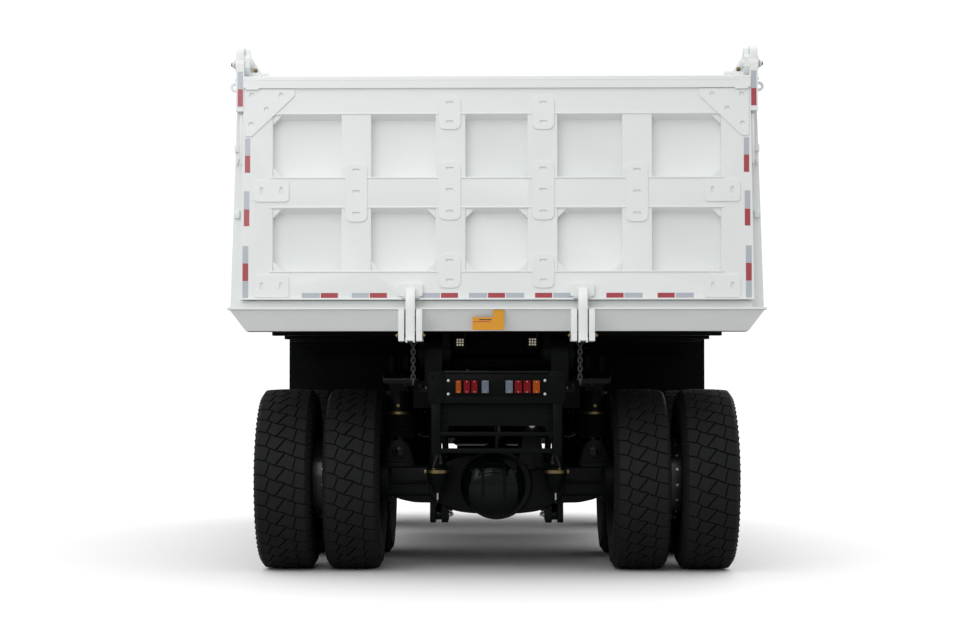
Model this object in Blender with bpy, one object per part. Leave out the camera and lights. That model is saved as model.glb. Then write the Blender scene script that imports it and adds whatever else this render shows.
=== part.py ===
"""A wide-body mining dump truck: 6x4 rigid chassis, rear-tipping body with a top-hinged tailgate.

Metres, +Z up. The truck faces +Y and +X is its right side. Lengths along the truck are written
from the rear axle, and one empty moves the whole truck so that its box is centred on the origin.
"""

import math

import bmesh
import bpy
from mathutils import Matrix, Vector

# Fits
SEAT = 0.0003          # gap between two pieces that touch
PIN_FACE = 0.0005      # side gap where two hinged pieces meet
PIN_FIT = 0.003        # radial room of a pin in its bore
RUN = 0.005            # least gap between pieces that move apart
SLEEVE_FIT = 0.0008    # radial gap between the sleeves of the hoist

# Wheels, size 18.00R25
TYRE_RADIUS = 0.81
TYRE_WIDTH = 0.50
TREAD_WIDTH = 0.416
BEAD_RADIUS = 0.3175
BEAD_WIDTH = 0.32
FLANGE_HEIGHT = 0.0275
FLANGE_WIDTH = 0.015
TWIN_SPACING = 0.597
WHEEL_SIDES = 20
DRUM_RADIUS = 0.25
AXLE_Z = TYRE_RADIUS

# Axles, along the truck from the rear axle
REAR_Y = 0.0
TANDEM = 1.8
MIDDLE_Y = REAR_Y + TANDEM
FRONT_Y = 6.3
TWIN_X = 1.572
FRONT_TYRE_X = 1.62
KINGPIN_X = 1.20
KINGPIN_RADIUS = 0.045
SPINDLE_RADIUS = 0.13
STUB_RADIUS = 0.075
HUB_FACE = 1.072       # where a twin wheel's hub begins
STUB_FACE = 1.3805     # where a front wheel's hub begins
STRUT_X = 0.883
FRONT_STRUT_X = 0.75

# Chassis
RAIL_IN, RAIL_OUT = 0.42, 0.54
RAIL_LOW, RAIL_TOP = 1.25, 1.70
RAIL_BACK, RAIL_FRONT = -1.02, 7.95
PIVOT_Y, PIVOT_Z = -0.85, 1.93
PIVOT_BLOCK_IN, PIVOT_BLOCK_OUT = 0.465, 0.615
PIVOT_BLOCK_RADIUS = 0.15
PIVOT_PIN_RADIUS = 0.05

# Body
GATE_BACK = -1.40
GATE_DEPTH = 0.15
GATE_PANEL = 0.06
RIB_SLOPE = 0.04       # how far a rib's underside falls on its way to the panel
GATE_HALF_TOP, GATE_HALF_LOW = 2.12, 2.148
GATE_LOW, GATE_TOP = 2.357, 4.206
GATE_RIBS_X = ((0.26, 0.508), (1.05, 1.297))
GATE_STILE_X = 1.875
GATE_RIBS_Z = (2.60, 3.127, 3.386, 3.913)
HINGE_Y, HINGE_Z = -1.30, 4.35
HINGE_PIN_RADIUS = 0.03
ARM_IN, ARM_OUT = 2.118, 2.184
BED_HALF_TOP, BED_HALF_LOW = 2.19, 2.246
BED_TOP = 4.13
POST_FOOT = 2.296      # where the rear posts and side rails stand on the sill
FLOOR_LOW, FLOOR_TOP = 2.21, 2.35
FLOOR_FRONT = 4.60
RIB_DEPTH = 0.10
WALL = 0.05
SILL_LOW, SILL_TOP = 2.10, 2.285
SILL_BACK = -1.42
SILL_LEAN = 0.12       # how far the sill's foot is ahead of its top
EAR_BACK = -1.55       # the ears beside the strikers are the rearmost metal
STRIKER_X = 0.7155

# Hoist: a front-mounted telescopic cylinder with four stages
HOIST_Y, HOIST_LOW_Z, HOIST_EYE_Z = 5.30, 2.00, 3.80
HOIST_RADIUS = 0.165
HOIST_WALL = 0.016
HOIST_STAGES = 4
HOIST_SIDES = 16
BARREL_TOP = 3.47

# Front end
DECK_LOW, DECK_TOP = 1.98, 2.04
DECK_BACK, DECK_FRONT = 5.56, 8.05
DECK_HALF = 2.12
CAB_LEFT, CAB_RIGHT = -1.98, -0.46
CAB_BACK, CAB_FRONT = 5.78, 7.72
CAB_LOW, CAB_TOP = 2.0403, 4.00
CAB_WALL = 0.06
CAB_WAIST = 3.02
DOOR_HINGE_OUT = 0.02  # from the door's face to the line of its hinges
DOOR_HINGE_IN = 0.006  # from the door's front edge back to that line
DOOR_HINGES_Z = (CAB_LOW + 0.34, CAB_WAIST - 0.15)
DOOR_BARREL = 0.06     # half the height of a door hinge's lower knuckle
HOOD_LEFT, HOOD_RIGHT = -0.40, 0.80
FENDER_RADIUS = 1.10
BUMPER_BACK, BUMPER_FRONT = 8.0503, 8.33
LADDER_DEPTH = 0.15

SHIFT_Y = -(EAR_BACK + BUMPER_FRONT + LADDER_DEPTH) / 2


def clear_scene():
    for old in list(bpy.data.objects):
        bpy.data.objects.remove(old, do_unlink=True)


def finish(name, colour, roughness, metallic=0.0):
    made = bpy.data.materials.new(name)
    made.use_nodes = True
    shader = made.node_tree.nodes["Principled BSDF"]
    shader.inputs["Base Color"].default_value = (*colour, 1.0)
    shader.inputs["Roughness"].default_value = roughness
    shader.inputs["Metallic"].default_value = metallic
    return made


clear_scene()
TRUCK = bpy.data.objects.new("truck", None)
TRUCK.location = (0.0, SHIFT_Y, 0.0)
bpy.context.scene.collection.objects.link(TRUCK)

WHITE = finish("white_paint", (0.75, 0.77, 0.76), 0.35)
BLACK = finish("chassis_black", (0.012, 0.014, 0.012), 0.45)
RUBBER = finish("tyre_rubber", (0.018, 0.019, 0.020), 0.85)
RIM = finish("rim_black", (0.02, 0.02, 0.02), 0.35)
STEEL = finish("hoist_steel", (0.55, 0.56, 0.58), 0.2, 1.0)
CAST = finish("cast_iron", (0.03, 0.03, 0.03), 0.6)
GLASS = finish("glass", (0.5, 0.58, 0.6), 0.05)
SEAT_CLOTH = finish("seat_cloth", (0.05, 0.05, 0.06), 0.9)
PLASTIC = finish("cab_plastic", (0.06, 0.06, 0.065), 0.6)


# Shapes: each is a closed mesh in the truck's own lengths

def mesh_of(bm):
    bmesh.ops.remove_doubles(bm, verts=bm.verts, dist=1e-6)
    bmesh.ops.recalc_face_normals(bm, faces=bm.faces)
    mesh = bpy.data.meshes.new("shape")
    bm.to_mesh(mesh)
    bm.free()
    return mesh


def box(xs, ys, zs):
    bm = bmesh.new()
    bmesh.ops.create_cube(bm, size=1.0)
    size = Vector([abs(b - a) for a, b in (xs, ys, zs)])
    centre = Vector([(a + b) / 2 for a, b in (xs, ys, zs)])
    bmesh.ops.scale(bm, vec=size, verts=bm.verts)
    bmesh.ops.translate(bm, vec=centre, verts=bm.verts)
    return mesh_of(bm)


def bar(start, end, radius, sides=12, end_radius=None):
    """A round bar or cone between two points."""
    start, end = Vector(start), Vector(end)
    along = end - start
    turn = Vector((0, 0, 1)).rotation_difference(along).to_matrix().to_4x4()
    bm = bmesh.new()
    bmesh.ops.create_cone(
        bm, cap_ends=True, segments=sides, radius1=radius,
        radius2=radius if end_radius is None else end_radius, depth=along.length,
        matrix=Matrix.Translation((start + end) / 2) @ turn,
    )
    return mesh_of(bm)


def prism(axis, outline, low, high):
    """An outline extruded along an axis. Its points are (y, z), (x, z) or (x, y)."""
    def place(a, b):
        return {"x": (low, a, b), "y": (a, low, b), "z": (a, b, low)}[axis]

    bm = bmesh.new()
    face = bm.faces.new([bm.verts.new(place(a, b)) for a, b in outline])
    grown = bmesh.ops.extrude_face_region(bm, geom=[face])["geom"]
    step = Vector([axis == k for k in "xyz"]) * (high - low)
    bmesh.ops.translate(bm, vec=step, verts=[v for v in grown if isinstance(v, bmesh.types.BMVert)])
    return mesh_of(bm)


def turned(profile, centre, axis, sides, side=1):
    """A closed profile of (along, radius) points spun about an axis through the centre."""
    along = Vector([axis == k for k in "xyz"]) * side
    out = Vector((0, 0, -1)) if axis != "z" else Vector((1, 0, 0))
    centre = Vector(centre)
    bm = bmesh.new()
    ring = [bm.verts.new(centre + along * a + out * r) for a, r in profile]
    edges = [bm.edges.new((a, b)) for a, b in zip(ring, ring[1:] + ring[:1])]
    bmesh.ops.spin(
        bm, geom=ring + edges, cent=centre, axis=along, angle=2 * math.pi, steps=sides,
        use_merge=True,
    )
    loose = [f for f in bm.faces if f.calc_area() < 1e-10]
    bmesh.ops.delete(bm, geom=loose, context="FACES_ONLY")
    return mesh_of(bm)


def ring_sector(centre_y, centre_z, inner, outer, first, last, steps):
    """The (y, z) outline of a bent strip, between two angles in degrees."""
    angles = [math.radians(first + (last - first) * i / steps) for i in range(steps + 1)]
    outside = [(centre_y + outer * math.cos(a), centre_z + outer * math.sin(a)) for a in angles]
    inside = [(centre_y + inner * math.cos(a), centre_z + inner * math.sin(a)) for a in angles]
    return outside + inside[::-1]


def path(points, radius, sides=6):
    """Round bars from point to point, each run a little long so that the bends are full."""
    runs = []
    for a, b in zip(points, points[1:]):
        a, b = Vector(a), Vector(b)
        reach = (b - a).normalized() * radius * 0.9
        runs.append(bar(a if a == Vector(points[0]) else a - reach,
                        b if b == Vector(points[-1]) else b + reach, radius, sides))
    return runs


# Pieces

def helper(name, mesh, group):
    made = bpy.data.objects.new(name, mesh)
    made.parent = TRUCK
    made.hide_render = True
    made.display_type = "WIRE"
    group.objects.link(made)


def piece(name, look, shapes, cuts=(), pivot=(0, 0, 0), bevel=0.0):
    """One named body: its shapes joined, then its cuts taken away. It turns about its pivot."""
    mesh = shapes[0]
    mesh.transform(Matrix.Translation(-Vector(pivot)))
    made = bpy.data.objects.new(name, mesh)
    made.location = pivot
    made.parent = TRUCK
    bpy.context.scene.collection.objects.link(made)
    for operation, others in (("UNION", shapes[1:]), ("DIFFERENCE", cuts)):
        if not others:
            continue
        group = bpy.data.collections.new(f"{name} {operation.lower()}")
        group.hide_render = True
        bpy.context.scene.collection.children.link(group)
        for number, other in enumerate(others):
            helper(f"{name} {operation.lower()} {number}", other, group)
        boolean = made.modifiers.new(operation.title(), "BOOLEAN")
        boolean.operation = operation
        boolean.operand_type = "COLLECTION"
        boolean.collection = group
        boolean.solver = "EXACT"
    if bevel:
        rounding = made.modifiers.new("Bevel", "BEVEL")
        rounding.width = bevel
        rounding.segments = 2
        rounding.limit_method = "ANGLE"
    mesh.materials.append(look)
    mesh.shade_smooth()
    mesh.set_sharp_from_angle(angle=math.radians(35))
    return made


SIDES = (("left", -1), ("right", 1))


# Wheels

def tyre_profile():
    bead = BEAD_WIDTH / 2 - SEAT
    right = [
        (bead, BEAD_RADIUS + SEAT),
        (bead, BEAD_RADIUS + FLANGE_HEIGHT + SEAT),
        (TYRE_WIDTH / 2, TYRE_RADIUS * 0.74),
        (TREAD_WIDTH / 2 - 0.02, TYRE_RADIUS),
    ]
    return right + [(-a, r) for a, r in reversed(right)]


def rim_band(centre):
    """The outer line of one rim from its inboard to its outboard flange."""
    half, lip = BEAD_WIDTH / 2, BEAD_RADIUS + FLANGE_HEIGHT
    return [
        (centre - half - FLANGE_WIDTH, lip), (centre - half, lip), (centre - half, BEAD_RADIUS),
        (centre + half, BEAD_RADIUS), (centre + half, lip), (centre + half + FLANGE_WIDTH, lip),
    ]


def twin_profile():
    """Two rims on one hub, with the brake drum inboard and the final drive's cover outboard."""
    half = TWIN_SPACING / 2
    edge = half + BEAD_WIDTH / 2 + FLANGE_WIDTH
    back = HUB_FACE - TWIN_X
    inner, outer = rim_band(-half)[:-1], rim_band(half)[1:]
    shell = BEAD_RADIUS - 0.02
    bore = SPINDLE_RADIUS + PIN_FIT
    return (
        [(back, bore), (back, DRUM_RADIUS), (back + 0.20, DRUM_RADIUS), (back + 0.20, shell),
         (-edge, shell)]
        + inner + outer
        + [(edge, shell), (0.20, shell - 0.01), (0.20, 0.19), (0.40, 0.17), (0.40, 0.0),
           (-0.05, 0.0), (-0.05, bore)]
    )


def single_profile():
    """A front rim on its hub and brake drum."""
    back = STUB_FACE - FRONT_TYRE_X
    edge = BEAD_WIDTH / 2 + FLANGE_WIDTH
    shell = BEAD_RADIUS - 0.02
    bore = STUB_RADIUS + PIN_FIT
    return (
        [(back, bore), (back, DRUM_RADIUS - 0.01), (-0.07, DRUM_RADIUS - 0.01), (-0.07, shell),
         (-edge, shell)]
        + rim_band(0.0)
        + [(edge, shell), (-0.02, shell - 0.01), (-0.02, 0.17), (0.10, 0.15), (0.10, 0.0),
           (0.0, 0.0), (0.0, bore)]
    )


def make_wheels():
    for axle, y in (("middle", MIDDLE_Y), ("rear", REAR_Y)):
        for hand, side in SIDES:
            centre = (side * TWIN_X, y, AXLE_Z)
            name = f"{axle}_{hand}"
            piece(f"twin_rim_{name}", RIM, [turned(twin_profile(), centre, "x", WHEEL_SIDES, side)],
                  pivot=centre)
            for place, way in (("outer", 1), ("inner", -1)):
                tyre = (side * (TWIN_X + way * TWIN_SPACING / 2), y, AXLE_Z)
                piece(f"tyre_{place}_{name}", RUBBER,
                      [turned(tyre_profile(), tyre, "x", WHEEL_SIDES, side)], pivot=centre)
    for hand, side in SIDES:
        centre = (side * FRONT_TYRE_X, FRONT_Y, AXLE_Z)
        piece(f"rim_front_{hand}", RIM, [turned(single_profile(), centre, "x", WHEEL_SIDES, side)],
              pivot=centre)
        piece(f"tyre_front_{hand}", RUBBER,
              [turned(tyre_profile(), centre, "x", WHEEL_SIDES, side)], pivot=centre)


# Axles and suspension

STRUT_PIN_Z = 1.065
STRUT_SEAT_Z = 1.60
EAR_GAP = 0.09
ROD_X, ROD_LOW_Z, ROD_FRAME_Z = 0.55, 0.49, 0.66
ROD_PLATE = 0.60
PANHARD = ((-0.33, 1.41), (0.30, 1.30))


def axle_housing(name, y, rod_way, through):
    """A banjo axle: housing, cover, spindles, strut ears, brake chambers and its locating rods."""
    banjo_z, banjo_r = 0.77, 0.315
    beam_low, beam_top = 0.65, 0.93
    shapes = [
        box((-1.02, 1.02), (y - 0.15, y + 0.15), (beam_low, beam_top)),
        bar((0, y - 0.22, banjo_z), (0, y + 0.22, banjo_z), banjo_r, 20),
        bar((-0.02, y - 0.21, banjo_z), (-0.02, y - 0.34, banjo_z), 0.28, 20, 0.18),
        bar((0, y + 0.21, banjo_z), (0, y + 0.62, banjo_z), 0.22, 12, 0.10),
        prism("y", [(-0.62, 0.66), (-0.42, 0.53), (-0.2, 0.50), (0.2, 0.50), (0.42, 0.53),
                    (0.62, 0.66), (0.62, 0.90), (0.30, 1.03), (-0.30, 1.03), (-0.62, 0.90)],
              y - 0.17, y + 0.17),
    ]
    if through:
        shapes.append(bar((0, y - 0.30, banjo_z), (0, y - 0.40, banjo_z), 0.09, 12))
    for side in (-1, 1):
        shapes += [
            bar((side * 0.96, y, AXLE_Z), (side * (HUB_FACE - PIN_FACE), y, AXLE_Z), 0.20, 16),
            bar((side * 1.0, y, AXLE_Z), (side * (TWIN_X - 0.06), y, AXLE_Z), SPINDLE_RADIUS,
                WHEEL_SIDES),
            box((side * 0.46, side * (ROD_PLATE - SEAT)), (y - 0.10, y + 0.12), (0.42, 0.68)),
            box((side * 0.49, side * 0.59), (y - 0.42, y - 0.10), (0.78, 0.86)),
            bar((side * 0.54, y - 0.42, 0.70), (side * 0.54, y - 0.42, 1.03), 0.085, 12),
        ]
        for way in (-1, 1):
            shapes.append(prism(
                "y",
                [(side * 0.74, 0.90), (side * 1.02, 0.90), (side * 1.02, 0.97),
                 (side * 0.94, 1.15), (side * 0.82, 1.15), (side * 0.74, 0.97)],
                y + way * (EAR_GAP + SEAT), y + way * (EAR_GAP + 0.04)))
        end = (side * ROD_X, y + rod_way * 0.78, ROD_FRAME_Z)
        shapes += [
            bar((side * ROD_X, y, ROD_LOW_Z), end, 0.035, 10),
            bar((side * 0.50, end[1], end[2]), (side * (ROD_PLATE - SEAT), end[1], end[2]), 0.06, 10),
        ]
    (left_x, left_z), (right_x, right_z) = PANHARD
    shapes += [
        bar((left_x, y - 0.30, left_z), (right_x, y - 0.30, right_z), 0.035, 10),
        bar((left_x, y - 0.36, left_z), (left_x, y - 0.24, left_z), 0.07, 12),
        bar((right_x, y - 0.36, right_z), (right_x, y - 0.24, right_z), 0.07, 12),
        prism("y", [(0.20, 0.98), (0.42, 0.90), (0.36, 1.30), (0.24, 1.30)], y - 0.25, y - 0.15),
    ]
    piece(name, CAST, shapes)


def strut(name, x, y, top, pin_z, ear):
    """A gas and oil strut: eye, rod, bellows, bright collar and cylinder."""
    centre_z = top - 0.20
    shapes = [
        bar((x, y, centre_z), (x, y, top), 0.1175, 16),
        bar((x, y, pin_z + 0.12), (x, y, centre_z + 0.01), 0.14, 16),
        bar((x, y, pin_z), (x, y, pin_z + 0.14), 0.055, 10),
        bar((x, y - ear, pin_z), (x, y + ear, pin_z), 0.065, 12),
    ]
    piece(name, BLACK, shapes)


def make_axles():
    axle_housing("rear_axle", REAR_Y, 1, False)
    axle_housing("middle_axle", MIDDLE_Y, -1, True)
    for axle, y in (("middle", MIDDLE_Y), ("rear", REAR_Y)):
        for hand, side in SIDES:
            strut(f"strut_{axle}_{hand}", side * STRUT_X, y, STRUT_SEAT_Z - SEAT, STRUT_PIN_Z,
                  EAR_GAP)
    for hand, side in SIDES:
        strut(f"strut_front_{hand}", side * FRONT_STRUT_X, FRONT_Y, STRUT_SEAT_Z - SEAT, 1.02, 0.06)
    front_axle()
    drive_shafts()


EYE_LOW, EYE_TOP, EYE_RADIUS = 0.68, 0.96, 0.10
TIE_X, TIE_Y, TIE_Z = 1.10, FRONT_Y - 0.36, 0.60


def front_axle():
    shapes = [box((-1.14, 1.14), (FRONT_Y - 0.09, FRONT_Y + 0.09), (0.70, 0.92))]
    cuts = []
    for side in (-1, 1):
        x = side * KINGPIN_X
        strut_x = side * FRONT_STRUT_X
        shapes += [
            bar((x, FRONT_Y, EYE_LOW), (x, FRONT_Y, EYE_TOP), EYE_RADIUS, 16),
            bar((side * 0.62, FRONT_Y - 0.05, 0.80), (side * 0.62, 5.10, 1.33), 0.04, 10),
            bar((side * (RAIL_OUT + SEAT), 5.10, 1.33), (side * 0.68, 5.10, 1.33), 0.07),
        ]
        cuts.append(bar((x, FRONT_Y, 0.5), (x, FRONT_Y, 1.1), KINGPIN_RADIUS + PIN_FIT, 12))
        for way in (-1, 1):
            shapes.append(box((strut_x - 0.07, strut_x + 0.07),
                              (FRONT_Y + way * (0.06 + SEAT), FRONT_Y + way * 0.10), (0.85, 1.08)))
    piece("front_axle", CAST, shapes, cuts)
    for hand, side in SIDES:
        knuckle(hand, side)
    x = TIE_X
    piece("tie_rod", BLACK, [
        bar((-x, TIE_Y, TIE_Z), (x, TIE_Y, TIE_Z), 0.028, 10),
        bar((-x, TIE_Y, TIE_Z - 0.04), (-x, TIE_Y, TIE_Z + 0.04 - SEAT), 0.045),
        bar((x, TIE_Y, TIE_Z - 0.04), (x, TIE_Y, TIE_Z + 0.04 - SEAT), 0.045),
    ], pivot=(-x, TIE_Y, TIE_Z))


def knuckle(hand, side):
    """The forked steering knuckle with its kingpin, stub axle and track arm."""
    x, y = side * KINGPIN_X, FRONT_Y
    face = side * (STUB_FACE - PIN_FACE)
    shapes = [
        box((side * 1.32, face), (y - 0.10, y + 0.10), (0.60, 1.04)),
        box((side * 1.12, side * 1.34), (y - 0.08, y + 0.08), (0.60, EYE_LOW - PIN_FACE)),
        box((side * 1.12, side * 1.34), (y - 0.08, y + 0.08), (EYE_TOP + PIN_FACE, 1.04)),
        bar((x, y, 0.62), (x, y, 1.02), KINGPIN_RADIUS, 12),
        bar((side * 1.36, y, AXLE_Z), (side * (FRONT_TYRE_X - 0.02), y, AXLE_Z), STUB_RADIUS,
            WHEEL_SIDES),
        prism("z", [(side * 1.14, y - 0.05), (side * 1.26, y - 0.05), (side * (TIE_X + 0.05), TIE_Y),
                    (side * (TIE_X + 0.03), TIE_Y - 0.05), (side * (TIE_X - 0.05), TIE_Y - 0.05),
                    (side * (TIE_X - 0.05), TIE_Y + 0.03)], TIE_Z + 0.04, EYE_LOW - PIN_FACE),
    ]
    piece(f"knuckle_{hand}", CAST, shapes, pivot=(x, y, AXLE_Z))


def drive_shafts():
    joint_z = 0.77
    start = (0, MIDDLE_Y + 0.62 + SEAT, joint_z)
    end = (0, 4.50 - SEAT, 1.30)
    piece("drive_shaft_front", BLACK, [
        bar((0, start[1], joint_z), (0, start[1] + 0.16, joint_z), 0.09, 16),
        bar((0, start[1] + 0.10, joint_z), (0, end[1] - 0.10, end[2]), 0.06, 12),
        bar((0, end[1] - 0.16, end[2]), end, 0.09, 16),
    ])
    back, front = REAR_Y + 0.62 + SEAT, MIDDLE_Y - 0.40 - SEAT
    piece("drive_shaft_rear", BLACK, [
        bar((0, back, joint_z), (0, back + 0.12, joint_z), 0.09, 16),
        bar((0, back + 0.08, joint_z), (0, front - 0.08, joint_z), 0.055, 12),
        bar((0, front - 0.12, joint_z), (0, front, joint_z), 0.09, 16),
    ])


# Chassis frame

HOIST_BEAM_LOW, HOIST_BEAM_TOP = 1.68, 1.80
TRUNNION_IN, TRUNNION_OUT = 0.19, 0.25


def make_frame():
    shapes = [box((-0.48, 0.48), (RAIL_BACK, RAIL_BACK + 0.12), (1.30, 1.62))]
    cuts = []
    for y, low, high in ((0.90, 1.30, 1.62), (2.70, 1.35, 1.62), (3.95, 1.42, 1.62),
                         (7.80, 1.30, 1.62)):
        shapes.append(box((-0.48, 0.48), (y - 0.06, y + 0.06), (low, high)))
    shapes.append(box((-0.60, 0.60), (HOIST_Y - 0.14, HOIST_Y + 0.14),
                      (HOIST_BEAM_LOW, HOIST_BEAM_TOP)))
    for side in (-1, 1):
        def across(a, b):
            return (side * a, side * b)
        shapes += [
            box(across(RAIL_IN, RAIL_OUT), (RAIL_BACK, RAIL_FRONT), (RAIL_LOW, RAIL_TOP)),
            box(across(PIVOT_BLOCK_IN, PIVOT_BLOCK_OUT), (PIVOT_Y - 0.15, PIVOT_Y + 0.15),
                (RAIL_TOP - 0.06, PIVOT_Z)),
            bar((side * PIVOT_BLOCK_IN, PIVOT_Y, PIVOT_Z), (side * PIVOT_BLOCK_OUT, PIVOT_Y, PIVOT_Z),
                PIVOT_BLOCK_RADIUS, 16),
            bar((side * 0.38, PIVOT_Y, PIVOT_Z), (side * 0.68, PIVOT_Y, PIVOT_Z),
                PIVOT_PIN_RADIUS, 12),
            box(across(TRUNNION_IN + PIN_FACE, TRUNNION_OUT), (HOIST_Y - 0.09, HOIST_Y + 0.09),
                (HOIST_BEAM_TOP - 0.02, HOIST_LOW_Z + 0.09)),
            box(across(0.53, 0.90), (FRONT_Y - 0.12, FRONT_Y + 0.12), (STRUT_SEAT_Z, RAIL_TOP)),
        ]
        for y in (DECK_BACK + 0.10, RAIL_FRONT - 0.06):
            shapes += [
                box(across(0.53, 0.95), (y - 0.05, y + 0.05), (1.60, 1.69)),
                box(across(0.87, 0.95), (y - 0.05, y + 0.05), (1.60, DECK_LOW - SEAT)),
            ]
        cuts.append(bar((side * 0.1, HOIST_Y, HOIST_LOW_Z), (side * 0.4, HOIST_Y, HOIST_LOW_Z),
                        0.05 + PIN_FIT, 12))
        for y in (REAR_Y, MIDDLE_Y):
            shapes += [
                box(across(0.53, 0.75), (y - 0.10, y + 0.10), (1.45, RAIL_TOP - 0.005)),
                bar((side * 0.70, y, RAIL_TOP), (side * 1.03, y, RAIL_TOP), 0.083, 16),
                box(across(0.80, 0.965), (y - 0.08, y + 0.08), (STRUT_SEAT_Z, RAIL_TOP)),
                box(across(0.93, 0.975), (y - 0.05, y + 0.05), (1.74, 1.92)),
                box(across(0.80, 0.84), (y - 0.05, y + 0.05), (1.74, 1.92)),
            ]
        shapes += [
            box(across(ROD_PLATE, ROD_PLATE + 0.03), (0.68, 1.12), (0.58, 1.40)),
            box(across(0.53, ROD_PLATE + 0.02), (0.80, 1.00), (1.28, 1.40)),
        ]
    for y in (REAR_Y, MIDDLE_Y):
        shapes.append(box((-RAIL_IN - 0.01, PANHARD[0][0]), (y - 0.235, y - 0.18), (1.32, 1.50)))
    piece("chassis_frame", BLACK, shapes, cuts)


def make_lamp_guard():
    back, front = -1.10, RAIL_BACK - SEAT
    shapes = [
        box((-0.555, 0.555), (back, front), (1.486, 1.556)),
        box((-0.59, 0.59), (back - 0.02, back + 0.015), (1.554, 1.767)),
        box((-0.50, 0.50), (back + 0.01, front - 0.01), (1.215, 1.262)),
        box((-0.50, 0.50), (back + 0.01, front - 0.01), (1.070, 1.117)),
        box((-0.012, 0.012), (back + 0.02, front - 0.02), (1.10, 1.50)),
    ]
    for side in (-1, 1):
        shapes += [
            box((side * 0.475, side * 0.555), (back, front), (1.075, 1.52)),
            box((side * 0.46, side * 0.53), (back, front), (1.50, 1.68)),
        ]
    piece("lamp_guard", BLACK, shapes)


def make_flaps():
    """The upright splash panels ahead of the middle wheels, on their bent rods."""
    for hand, side in SIDES:
        rod = [(side * 1.95, 2.955, 2.0), (side * 1.12, 2.955, 2.0), (side * 1.12, 2.955, 1.50),
               (side * (RAIL_OUT + SEAT), 2.955, 1.50)]
        piece(f"splash_panel_{hand}", BLACK, [
            box((side * 0.98, side * 2.20), (2.97, 3.0), (1.28, 2.18)), *path(rod, 0.022)])


# Dump body

def bed_half(z):
    """Half the body's width over its ribs at a height."""
    share = (z - GATE_LOW) / (BED_TOP - GATE_LOW)
    return BED_HALF_LOW + (BED_HALF_TOP - BED_HALF_LOW) * share


def leaning_sill():
    """The rear sill: a folded plate with chamfered ends, its foot ahead of its top."""
    sill = prism("y", [(-2.24, SILL_TOP), (-2.11, SILL_LOW), (2.11, SILL_LOW), (2.24, SILL_TOP)],
                 SILL_BACK, -1.08)
    for v in sill.vertices:
        if v.co.y < SILL_BACK + 0.01 and v.co.z < SILL_LOW + 0.01:
            v.co.y += SILL_LEAN
    return sill


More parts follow.
